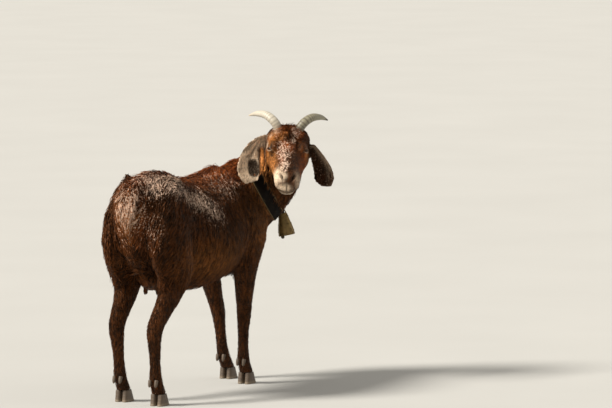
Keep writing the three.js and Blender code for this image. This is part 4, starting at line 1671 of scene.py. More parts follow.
@dataclass
class Coat:
    """Locks of hair over the whole skin, in pieces."""

    skin: Skin
    patch_size: float = 0.003
    seed: int = 7
    leg_top: float = 0.36

    def flow(self) -> Array:
        """Which way the hair lies at each point.

        Returns:
            Unit vectors along the skin.
        """
        skin = self.skin
        normals, points, head = skin.normals, skin.points, skin.head
        top = ease(0.1, 0.8, normals[:, 2])[:, None]
        outward = np.zeros_like(points)
        outward[:, 1] = np.sign(points[:, 1] - MIDDLE * MM)
        croup = 1 - ease(-0.27, -0.12, points[:, 0])[:, None]
        trunk = np.array((-0.35, 0, -1.0)) * (1 - top) + (np.array((-0.5, 0, 0)) + outward) * top
        trunk = trunk + np.array((-0.9, 0, 0)) * croup
        neck = np.array((-0.16, 0.34, 0.0)) + np.array((0, 0, -0.8)) * (1 - 0.5 * top)
        along, above, left = (column[:, None] for column in head.local(points).T)
        backward = ease(70, 105, along)
        face = head.muzzle * (1 - 2 * backward) + head.left * np.sign(left) * 0.35
        face = face - head.brow * 0.5 * ease(20, 60, np.abs(left))
        low = 1 - ease(-40, 10, above)
        face = face * (1 - low) + (-head.muzzle * 0.5 - UP * 0.8) * low
        down = np.array((-0.18, 0, -1.0))
        thigh = down + np.array((-0.95, 0, 0)) * ease(0.30, 0.42, points[:, 2])[:, None]
        ways = {"trunk": trunk, "neck": neck, "head": face,
                "leg_hind_left": thigh, "leg_hind_right": thigh}
        total = np.zeros_like(points)
        for name in FLESH:
            way = np.broadcast_to(ways.get(name, down), points.shape)
            total += unit(way) * skin.weight(name)[:, None]
        for _ in range(4):
            total -= normals * np.sum(total * normals, axis=1, keepdims=True)
            total = skin.cloth.spread(unit(total), 5)
        return unit(total - normals * np.sum(total * normals, axis=1, keepdims=True))

    def zones(self, centres: Array, normals: Array, parts: Array) -> Array:
        """Number in PATCHES of the piece that each face belongs to.

        Args:
            centres: Middle of each face.
            normals: Its normal.
            parts: Number in FLESH of its part of the body.

        Returns:
            The numbers.
        """
        names = [patch.name for patch in PATCHES]
        where = {name: parts == number for number, name in enumerate(FLESH)}
        high = centres[:, 2] > self.leg_top
        right = centres[:, 1] < MIDDLE * MM
        trunk = where["trunk"]
        side = trunk & (normals[:, 2] > -0.45)
        fore = where["leg_front_left"] | where["leg_front_right"]
        hind = where["leg_hind_left"] | where["leg_hind_right"]
        rump = (trunk | (hind & high)) & (centres[:, 0] < -0.2)
        along, above, left = self.skin.head.local(centres).T
        poll = (np.abs(left) < 34) & (along < 62) & (along > -4) & (above > 30)
        chosen = np.full(len(centres), names.index("coat_belly"))
        for name, mask in (
                ("coat_flank_right", side & right),
                ("coat_flank_left", side & ~right),
                ("coat_back", trunk & (normals[:, 2] > 0.55)),
                ("coat_thigh_right", hind & high & right),
                ("coat_thigh_left", hind & high & ~right),
                ("coat_rump", rump & ((normals[:, 0] < -0.62) | (normals[:, 2] > 0.6))),
                ("coat_hind_lower", hind & ~high),
                ("coat_fore_upper", fore & high),
                ("coat_fore_lower", fore & ~high),
                ("coat_neck", where["neck"]),
                ("coat_head", where["head"]),
                ("coat_poll", where["head"] & poll),
                ("coat_ears", where["ear_left"] | where["ear_right"]),
                ("coat_tail", where["tail"])):
            chosen[mask] = names.index(name)
        return chosen

    def style(self, key: str, zone: Array, corners: Array) -> Array:
        """One setting of the pieces at each point, softened where two pieces meet.

        Args:
            key: Name of the setting.
            zone: Piece of each face.
            corners: Points of each face.

        Returns:
            The setting.
        """
        size = len(self.skin.points)
        per_face = np.array([getattr(patch, key) for patch in PATCHES])[zone]
        total = np.bincount(corners.ravel(), np.repeat(per_face, 3), size)
        count = np.maximum(np.bincount(corners.ravel(), minlength=size), 1)
        return self.skin.cloth.spread((total / count)[:, None], 8)[:, 0]

    def growth_values(self) -> dict[str, Array]:
        """Length, width, rise and crowding of the locks at each point.

        Returns:
            The values by name, with the nose, lips, eyes and horn roots kept bare.
        """
        skin = self.skin
        growths = [GROWTHS[name] for name in FLESH]
        values = {key: skin.weights @ np.array([getattr(g, key) for g in growths])
                  for key in ("length", "width", "crowd", "rise")}
        local = skin.head.local(skin.points)
        on_head = skin.weight("head")
        snout = ease(150, 225, local[:, 0]) * on_head
        values["length"] *= 1 - 0.5 * snout
        values["width"] *= 1 - 0.3 * snout
        bare = np.maximum(skin.bare, ease(0.5, 0.9, skin.shade) * on_head)
        for centre, radii in (((232, 4, 18), (12, 10, 11)), ((232, 4, -18), (12, 10, 11)),
                              ((244, -4, 0), (10, 14, 14))):
            bare = np.maximum(bare, blob(local, centre, radii))
        values["crowd"] *= 1 - np.clip(bare * 1.4 * on_head, 0, 1)
        values["crowd"] *= 1 - ease(0.7, 0.97, skin.covered)
        values["length"] *= 1 - 0.5 * skin.covered
        values["length"] *= 0.55 + 0.45 * ease(0.030, 0.060, skin.points[:, 2])
        for side in Side:
            distance = np.linalg.norm(skin.points - node_centre(f"eye_{side.label}"), axis=1)
            values["crowd"] *= ease(14.8 * MM, 17.4 * MM, distance)
            values["length"] *= 0.45 + 0.55 * ease(16 * MM, 34 * MM, distance)
        return values

    def unwrap(self, zone: Array, corners: Array) -> Array:
        """Place of every face corner on an unwrap round each piece's own axis, from 0 to 1.

        Args:
            zone: Piece of each face.
            corners: Points of each face.

        Returns:
            A row for each corner, the third number 0.
        """
        result = np.zeros((len(corners) * 3, 3))
        owner = np.repeat(zone, 3)
        for number, patch in enumerate(PATCHES):
            mine = owner == number
            if not mine.any():
                continue
            chosen = self.skin.points[corners.ravel()[mine]]
            axis = np.array(patch.axis)
            first = unit(np.cross(axis, (0.31, 0.87, 0.24)))
            offset = chosen - chosen.mean(axis=0)
            angle = np.arctan2(offset @ np.cross(axis, first), offset @ first)
            for column, values in enumerate((angle, offset @ axis)):
                low, high = values.min(), values.max()
                result[mine, column] = 0.01 + 0.975 * (values - low) / (high - low)
        return result

    def prepare(self) -> None:
        """Stores on the skin all that the locks grow from."""
        skin = self.skin
        mesh = skin.piece.data
        corners = corners_of(mesh)
        centres = skin.points[corners].mean(axis=1)
        normals = unit(skin.normals[corners].mean(axis=1))
        zone = self.zones(centres, normals, skin.part[corners[:, 0]])
        set_attribute(mesh, "zone", zone.astype(np.int32), "FACE")
        set_attribute(mesh, "unwrap", self.unwrap(zone, corners), "CORNER")
        set_attribute(mesh, "lie", self.flow())
        for name, values in self.growth_values().items():
            if name != "rise":
                values = values * self.style(name, zone, corners)
            set_attribute(mesh, name, values)

    def tree(self) -> Tree:
        """Builds the Geometry Nodes tree that grows one patch.

        Returns:
            The tree.
        """
        tree = Tree("grow_locks", Zone="Int", Unrest="Float", Cling="Float", Lift="Float",
                    Seed="Int", Locks="Collection")
        same = tree.out("FunctionNodeCompare", {"data_type": "INT", "operation": "EQUAL"},
                        {"A_INT": tree.named("zone", "INT"), "B_INT": tree.given["Zone"]})
        roots = tree.node("GeometryNodeDistributePointsOnFaces", {"distribute_method": "RANDOM"},
                          {"Mesh": tree.given["Geometry"], "Selection": same,
                           "Density": tree.named("crowd"), "Seed": tree.given["Seed"]}).outputs
        position = tree.out("GeometryNodeInputPosition")
        points = tree.store(roots["Points"], "root", position)
        points = tree.store(points, "root_normal", roots["Normal"])
        locks = self.add_locks(tree, points, roots["Normal"])
        tree.end(self.add_bake_map(tree, self.lay_down(tree, locks, position)))
        return tree

    def turn_locks(self, tree: Tree, normal: Socket) -> Socket:
        """Rotation of each lock: along the lie of the coat, shaken and pitched up a little.

        Args:
            tree: Where the nodes go.
            normal: Normal of the skin at the roots.

        Returns:
            The rotation.
        """
        clump = tree.out("ShaderNodeTexNoise", {}, {"Scale": 55.0, "Detail": 1.0}, "Color")
        shaken = tree.out("FunctionNodeRandomValue", {"data_type": "FLOAT_VECTOR"},
                          {"Min": (-0.5,) * 3, "Max": (0.5,) * 3, "Seed": 3}, "Value")
        centred = tree.vector("SUBTRACT", clump, (0.5,) * 3)
        swerve = tree.vector("MULTIPLY", tree.vector("MULTIPLY_ADD", centred, (2.4,) * 3, shaken),
                             tree.given["Unrest"])
        turn = tree.rotation(normal, tree.vector("ADD", tree.named("lie", "FLOAT_VECTOR"), swerve))
        pitch = tree.random(-0.02, 0.16, 11) * tree.number("rise")
        pitch = pitch + tree.random(0.0, 1.0, 13) ** 2.0 * tree.given["Lift"]
        return tree.out("FunctionNodeRotateRotation", {"rotation_space": "LOCAL"},
                        {"Rotation": turn, "Rotate By": tree.combine(pitch)})

    def add_locks(self, tree: Tree, points: Socket, normal: Socket) -> Socket:
        """A lock on each root, with its own size and tint.

        Args:
            tree: Where the nodes go.
            points: The roots.
            normal: Normal of the skin there.

        Returns:
            The locks as real geometry.
        """
        length = tree.number("length") * tree.random(0.6, 1.25, 5) * MM
        width = tree.number("width") * tree.random(0.6, 1.3, 6) * MM
        kinds = tree.out("GeometryNodeCollectionInfo", {},
                         {"Collection": tree.given["Locks"], "Separate Children": True,
                          "Reset Children": True})
        pick = tree.out("FunctionNodeRandomValue", {"data_type": "INT"},
                        {"Min_002": 0, "Max_002": 7, "Seed": 9}, "Value_002")
        placed = tree.placed(points, kinds, self.turn_locks(tree, normal),
                             tree.combine(width, length, length),
                             **{"Pick Instance": True, "Instance Index": pick})
        drift = Field(tree, tree.out("ShaderNodeTexNoise", {}, {"Scale": 120.0, "Detail": 1.0}))
        tint = (tree.random(0.0, 1.0, 21) * 0.8 + (drift - 0.5) * 1.3 + 0.1).clamped()
        return tree.realized(tree.store(placed, "tint", tint, "FLOAT", "INSTANCE"))

    def lay_down(self, tree: Tree, locks: Socket, here: Socket) -> Socket:
        """Bends the locks to the skin: each point keeps its height above it.

        Args:
            tree: Where the nodes go.
            locks: The locks.
            here: Position of each point.

        Returns:
            The bent locks.
        """
        skin = tree.given["Geometry"]
        offset = tree.vector("SUBTRACT", here, tree.named("root", "FLOAT_VECTOR"))
        height = tree.vector("DOT_PRODUCT", offset, tree.named("root_normal", "FLOAT_VECTOR"),
                             output="Value")
        near = tree.out("GeometryNodeProximity", {"target_element": "FACES"},
                        {0: skin, "Source Position": here})
        normal = tree.out("GeometryNodeSampleNearestSurface", {"data_type": "FLOAT_VECTOR"},
                          {"Mesh": skin, "Value": tree.out("GeometryNodeInputNormal"),
                           "Sample Position": here})
        lifted = tree.vector("MULTIPLY_ADD", normal, height, near)
        blend = tree.mix(tree.given["Cling"], here, lifted, "Vector")
        return tree.out("GeometryNodeSetPosition", {}, {"Geometry": locks, "Position": blend})

    def add_bake_map(self, tree: Tree, locks: Socket) -> Socket:
        """Gives each lock its own small patch of the map, at its root's place on the unwrap.

        Args:
            tree: Where the nodes go.
            locks: The locks.

        Returns:
            The locks without the attributes that they grew from.
        """
        spot = tree.vector("MULTIPLY_ADD", tree.named("patch", "FLOAT_VECTOR"),
                           (self.patch_size,) * 3, tree.named("unwrap", "FLOAT_VECTOR"))
        made = tree.store(locks, "OFBake", spot, "FLOAT2", "CORNER")
        for name in ("root", "root_normal", "patch", "unwrap", "lie", "zone", "crowd", "length",
                     "width", "rise"):
            made = tree.out("GeometryNodeRemoveAttribute", {}, {"Geometry": made, "Name": name})
        return made

    def build(self) -> None:
        """Grows and dresses every piece of the coat."""
        self.prepare()
        tree = self.tree()
        material = HairFinish("hair").make()
        kinds = {}
        for label, locks in (("long", LONG_LOCKS), ("short", SHORT_LOCKS)):
            kinds[locks] = bpy.data.collections.new(f"locks_{label}")
            for k, lock in enumerate(locks):
                made = lock.build(f"lock_{label}_{k}")
                bpy.context.scene.collection.objects.unlink(made)
                kinds[locks].objects.link(made)
        for number, patch in enumerate(PATCHES):
            piece = linked(patch.name, self.skin.piece.data)
            tree.apply(piece, Zone=number, Unrest=patch.unrest, Cling=patch.cling,
                       Lift=patch.lift, Seed=self.seed + number, Locks=kinds[patch.locks],
                       Material=material)
            finish_piece(piece, Slot.HIDE)
        for collection in kinds.values():
            for made in list(collection.objects):
                bpy.data.objects.remove(made)
            bpy.data.collections.remove(collection)


# Eyes ---------------------------------------------------------------------------------------------


@dataclass(frozen=True)
class EyeFinish(Finish):
    """Amber iris with a level oblong pupil under a clear gloss."""

    name: str = "eye"
    amber: Colour = tone(126, 76, 30)
    umber: Colour = tone(38, 22, 11)
    pupil: Colour = tone(8, 7, 8)
    white: Colour = tone(120, 96, 74)

    def paint(self, graph: Graph) -> dict[str, Any]:
        """Sockets of the shader; the attributes hold the place on the eye in eye radii.

        Args:
            graph: Where the nodes go.

        Returns:
            Values and links by socket name.
        """
        across, height = graph.attribute("across"), graph.attribute("height")
        from_middle = (across * across + height * height) ** 0.5
        ray = graph.out("ShaderNodeMath", {"operation": "ARCTAN2"}, {0: height, 1: across})
        spokes = graph.combine(Field(graph, ray) * 9.0, from_middle * 3.0)
        streak = graph.noise(1.6, 2.0, 0.6, spokes)
        iris = graph.mix((streak * 1.6 - 0.3 + from_middle * 0.3).clamped(), self.amber, self.umber)
        slit = ((across / 0.40).size() ** 3.0 + (height / 0.15).size() ** 3.0).step(1.25, 0.8)
        colour = graph.mix(slit, iris, self.pupil)
        colour = graph.mix(from_middle.step(0.66, 0.74), colour, self.umber)
        colour = graph.mix(from_middle.step(0.78, 0.86), colour, self.white)
        return {"Base Color": colour, "Roughness": 0.25, "Specular IOR Level": 0.1,
                "Coat Weight": 0.25, "Coat Roughness": 0.08}


@dataclass
class Eyes:
    """The two eyeballs, each with a bulging cornea."""

    skin: Skin
    rings: int = 40
    sides: int = 56
    cornea: float = 0.9 * MM

    def build_eye(self, side: Side) -> Piece:
        """One eyeball, its pole on the way it looks.

        Args:
            side: Which eye.

        Returns:
            The eyeball.
        """
        centre, look, upward, nasal = self.skin.eye_axes(side)
        radius = self.skin.eye_radius
        tilt = np.linspace(0.02, math.pi - 0.02, self.rings)[:, None]
        turn = full_turn(self.sides)
        size = radius + self.cornea * bell_curve(tilt / 0.62)
        made = ringed(f"eyeball_{side.label}",
                      swept(centre + size * np.cos(tilt) * look, nasal, upward,
                            size * np.sin(tilt) * np.cos(turn), size * np.sin(tilt) * np.sin(turn)))
        offset = (points_of(made.data) - centre) / radius
        set_attribute(made.data, "across", offset @ nasal + 2.0 * (offset @ look < 0))
        set_attribute(made.data, "height", offset @ upward)
        return made

    def build(self) -> None:
        """Makes and dresses both eyes."""
        material = EyeFinish().make()
        for side in Side:
            finish_piece(self.build_eye(side), Slot.EYE, f"eye_{side.label}", material=material)


# Horns --------------------------------------------------------------------------------------------


@dataclass(frozen=True)
class HornFinish(Finish):
    """Cream horn, grey and ringed near the root and dark at the point."""

    cream: Colour = tone(198, 190, 172)
    grey: Colour = tone(150, 138, 118)
    shade: Colour = tone(70, 58, 48)
    point: Colour = tone(196, 180, 156)
    ring_shade: float = 0.4

    def paint(self, graph: Graph) -> dict[str, Any]:
        """Sockets of the shader; "reach" runs from root to point and "ring" marks the grooves.

        Args:
            graph: Where the nodes go.

        Returns:
            Values and links by socket name.
        """
        reach, ring, turn = (graph.attribute(name) for name in ("reach", "ring", "turn"))
        fibre = graph.noise(2.2, 3.0, 0.6, graph.combine(turn * 9.0, reach * 2.5))
        blotch = graph.noise(60.0, 2.0)
        colour = graph.mix((1.0 - reach.step(0.05, 0.5)) * 0.75, self.cream, self.grey)
        colour = graph.mix((fibre - 0.42).clamped() * 1.2, colour, self.grey)
        colour = graph.mix((blotch - 0.55).clamped() * 1.4 * (1.0 - reach), colour, self.shade)
        colour = graph.mix(ring * self.ring_shade, colour, self.shade)
        colour = graph.mix(reach.step(0.84, 0.99), colour, self.point)
        return {"Base Color": colour, "Roughness": 0.34 + fibre * 0.2,
                "Normal": graph.bump(fibre * 0.5 - ring * 0.5, 0.5 * MM, 0.6)}


@dataclass
class Horns:
    """Two short horns that sweep up, out and back, ringed by yearly growth."""

    head: HeadFrame
    rows: int = 96
    sides: int = 32
    rings: int = 22
    groove: float = 0.022
    flatness: float = 0.9
    path: tuple[tuple[float, float, float, float], ...] = (
        (26, 14, 22, 15.0), (24, 22, 24, 15.0), (20, 51, 32, 14.8), (8, 69, 47, 14.4),
        (-14, 74, 70, 12.6), (-40, 61, 96, 8.4), (-60, 41, 118, 2.0))

    def build_horn(self, side: Side) -> Piece:
        """One horn swept along its curve.

        Args:
            side: Which horn.

        Returns:
            The horn.
        """
        stations = np.array(self.path)
        stations[:, 2] *= side.value
        along = spline(stations, np.linspace(0, len(stations) - 1, self.rows))
        centres = self.head.poll + along[:, :3] @ self.head.axes * MM
        tangent = unit(np.gradient(centres, axis=0))
        across = unit(np.cross(tangent, self.head.muzzle))
        reach = np.concatenate(([0], np.cumsum(np.linalg.norm(np.diff(centres, axis=0), axis=1))))
        reach /= reach[-1]
        phase = (reach ** 0.85) * self.rings
        phase = phase + 0.35 * np.sin(9 * reach) + 0.2 * np.sin(23 * reach)
        ring = np.clip(np.cos(2 * math.pi * phase), 0, 1) ** 2 * (1 - ease(0.45, 0.8, reach))
        swell = 1 + self.groove * (0.5 - ring) * (1 - ease(0.5, 0.9, reach))
        turn = full_turn(self.sides)
        radius = (along[:, 3] * MM * swell)[:, None]
        radius = radius * (1 + 0.012 * np.sin(5 * turn + 3 * reach[:, None]))
        made = ringed(f"horn_sheath_{side.label}",
                      swept(centres, across * self.flatness, np.cross(across, tangent),
                            radius * np.cos(turn), radius * np.sin(turn)))
        set_attribute(made.data, "reach", np.repeat(reach, self.sides))
        set_attribute(made.data, "ring", np.repeat(ring, self.sides))
        set_attribute(made.data, "turn", np.tile(np.abs(turn / math.pi - 1), self.rows))
        return made

    def build(self) -> None:
        """Makes and dresses both horns."""
        # The left horn's finish is darker: its own darker rings and point, and painted shade over its
        # cream and grey.
        left_horn_dark_and_shaded = HornFinish("horn_left", cream=tone(140, 134, 112), grey=tone(88, 84, 70),
                           point=tone(52, 38, 28), ring_shade=0.8)
        for side, finish in ((Side.LEFT, left_horn_dark_and_shaded), (Side.RIGHT, HornFinish("horn_right"))):
            finish_piece(self.build_horn(side), Slot.HORN, f"horn_{side.label}",
                         material=finish.make())


# Hooves -------------------------------------------------------------------------------------------


@dataclass(frozen=True)
class ClawFinish(Finish):
    """Dark slate-brown horn with growth rings and upright grain, scuffed at the edge."""

    name: str = "claw"
    slate: Colour = tone(66, 56, 48)
    umber: Colour = tone(104, 88, 70)
    scuff: Colour = tone(146, 130, 108)

    def paint(self, graph: Graph) -> dict[str, Any]:
        """Sockets of the shader.

        Args:
            graph: Where the nodes go.

        Returns:
            Values and links by socket name.
        """
        grain = graph.noise(500.0, 2.0, 0.6, graph.stretched((1, 1, 0.12)))
        rings = graph.noise(260.0, 2.0, 0.5, graph.stretched((0.12, 0.12, 1)))
        height = graph.out("ShaderNodeSeparateXYZ", {}, {"Vector": graph.place()}, "Z")
        worn = 1.0 - Field(graph, height).step(0.002, 0.012)
        colour = graph.mix((grain * 1.5 - 0.25).clamped(), self.slate, self.umber)
        colour = graph.mix((rings - 0.5).clamped() * 1.6, colour, self.slate)
        colour = graph.mix(worn * 0.5, colour, self.scuff)
        return {"Base Color": colour, "Roughness": 0.45 + grain * 0.2,
                "Normal": graph.bump(grain + rings, 0.4 * MM, 0.7)}


@dataclass
class Hooves:
    """Two claws and two dewclaws on each foot, in the places of their CAD nodes."""

    levels: int = 16
    sides: int = 40
    ridge: float = 0.25 * MM
    spur_radius: float = 5.6 * MM
    spur_inset: float = 4.0 * MM
    sole_bevel: float = 1.6 * MM
    sole_shape: Triple = (0.965, 0.94, 1.0)
    crown_shape: Triple = (0.86, 0.82, 1.0)

    def outline(self, low: Array, high: Array, share: float) -> Array:
        """Ring of a claw: square heel, rounded toe that slopes back.

        Args:
            low: Lowest corner of the claw's box.
            high: Highest corner.
            share: How high the ring lies, from 0 to 1.

        Returns:
            The ring's points.
        """
        length, width, height = high - low
        squeeze = 1 - 0.10 * share
        cos, sin = np.cos(full_turn(self.sides)), np.sin(full_turn(self.sides))
        x = blunt(cos, np.where(cos > 0, 0.82, 0.55))
        y = blunt(sin, 0.72) * (1 - 0.28 * np.clip(x, 0, 1) ** 2)
        toe = high[0] - 0.26 * length * share
        heel = low[0] + 0.06 * length * share
        ripple = self.ridge * math.sin(share * 26) * (share < 0.9)
        return np.stack(((toe + heel) / 2 + ((toe - heel) / 2 * squeeze + ripple) * x,
                         (low[1] + high[1]) / 2 + (width / 2 * squeeze + ripple) * y,
                         np.full(self.sides, low[2] + height * share)), axis=1)

    def build_claw(self, node: str) -> Piece:
        """One claw, flat on the ground, with a rolled upper edge.

        Args:
            node: Its CAD node.

        Returns:
            The claw.
        """
        rings = [self.outline(*node_box(node), share) for share in np.linspace(0, 1, self.levels)]
        sole, top = rings[0].mean(axis=0), rings[-1].mean(axis=0)
        bevel = sole + (rings[0] - sole) * np.array(self.sole_shape)
        crown = top + (rings[-1] - top) * np.array(self.crown_shape)
        rings[0] = rings[0] + np.array((0, 0, self.sole_bevel))
        return ringed(f"claw_{node[5:]}", np.array([bevel] + rings + [crown]))

    def build_dewclaw(self, node: str) -> Piece:
        """One dewclaw: a blunt horny cone that points down and back.

        Args:
            node: Its CAD node.

        Returns:
            The dewclaw.
        """
        low, high = node_box(node)
        middle = (low + high) / 2
        top = np.array((middle[0] + self.spur_inset, middle[1], high[2]))
        end = np.array((low[0] + self.spur_inset, middle[1], low[2] + 1 * MM))
        shares = np.linspace(0, 1, 12)[:, None]
        radius = self.spur_radius * np.sqrt(np.clip(1 - (shares * 0.99) ** 3.0, 0, 1))
        turn = full_turn(20)
        first = np.array((0.0, 1.0, 0.0))
        second = np.cross(unit(end - top), first)
        return ringed(f"spur_{node[8:]}", swept(top + (end - top) * shares, first, second,
                                                radius * np.cos(turn), radius * np.sin(turn)))

    def build(self) -> None:
        """Makes and dresses all the claws and dewclaws."""
        material = ClawFinish().make()
        for node in sorted(NODES):
            if node.startswith(("hoof_", "dewclaw_")):
                build = self.build_claw if node.startswith("hoof_") else self.build_dewclaw
                finish_piece(build(node), Slot.CLAW, node, material=material)


# Collar and bell ----------------------------------------------------------------------------------


@dataclass(frozen=True)
class LeatherFinish(Finish):
    """Dark greased leather, grained, scratched, and rubbed pale along its edges."""

    name: str = "leather"
    dark: Colour = tone(10, 7, 4)
    olive: Colour = tone(27, 19, 10)
    worn: Colour = tone(150, 130, 94)

    def paint(self, graph: Graph) -> dict[str, Any]:
        """Sockets of the shader; "edge" is 1 on the strap's borders.

        Args:
            graph: Where the nodes go.

        Returns:
            Values and links by socket name.
        """
        grain = graph.noise(900.0, 2.0, 0.6)
        cloud = graph.noise(38.0, 4.0, 0.6)
        scratch = graph.noise(240.0, 2.0, 0.5, graph.stretched((1, 1, 0.16), (0.4, 0.2, 0)))
        rub = (graph.attribute("edge") * 1.5 + cloud - 0.95).step(0.1, 0.5)
        colour = graph.mix((cloud * 1.8 - 0.5).clamped(), self.dark, self.olive)
        colour = graph.mix((scratch - 0.68).step(0.0, 0.08) * 0.25, colour, self.worn)
        colour = graph.mix(rub * 0.6, colour, self.worn)
        return {"Base Color": colour, "Roughness": 0.5 + cloud * 0.3, "Specular IOR Level": 0.1,
                "Normal": graph.bump(grain * 0.6 + cloud * 0.8 - scratch * 0.4, 0.5 * MM, 0.7)}


@dataclass(frozen=True)
class MetalFinish(Finish):
    """Weathered sheet metal: dull, spotted and tarnished, rusty where water stands."""

    clean: Colour = tone(122, 100, 60)
    tarnish: Colour = tone(58, 47, 27)
    rust: Colour = tone(88, 54, 28)
    metallic: float = 0.6
    rusty: float = 0.5

    def paint(self, graph: Graph) -> dict[str, Any]:
        """Sockets of the shader.

        Args:
            graph: Where the nodes go.

        Returns:
            Values and links by socket name.
        """
        cloud = graph.noise(70.0, 4.0, 0.62)
        spots = graph.noise(340.0, 3.0, 0.6)
        eaten = (cloud * 1.3 + spots * 0.7 - 1.0).step(-0.1, 0.35)
        ochre = (graph.noise(110.0, 3.0, 0.6) + spots * 0.3 - 0.72).step(0.0, 0.14) * self.rusty
        colour = graph.mix(ochre, graph.mix(eaten, self.clean, self.tarnish), self.rust)
        return {"Base Color": colour, "Metallic": self.metallic * (1.0 - 0.7 * ochre),
                "Roughness": 0.38 + eaten * 0.3,
                "Normal": graph.bump(spots * 0.5 + cloud, 0.5 * MM, 0.5)}


@dataclass(frozen=True)
class ThreadFinish(Finish):
    """Waxed linen thread, soiled."""

    name: str = "thread"
    clean: Colour = tone(112, 96, 66)
    soiled: Colour = tone(60, 48, 32)

    def paint(self, graph: Graph) -> dict[str, Any]:
        """Sockets of the shader.

        Args:
            graph: Where the nodes go.

        Returns:
            Values and links by socket name.
        """
        dirt = graph.noise(60.0, 3.0)
        return {"Base Color": graph.mix((dirt * 1.6 - 0.3).clamped(), self.clean, self.soiled),
                "Roughness": 0.8, "Normal": graph.bump(graph.noise(2400.0), 0.2 * MM, 0.6)}


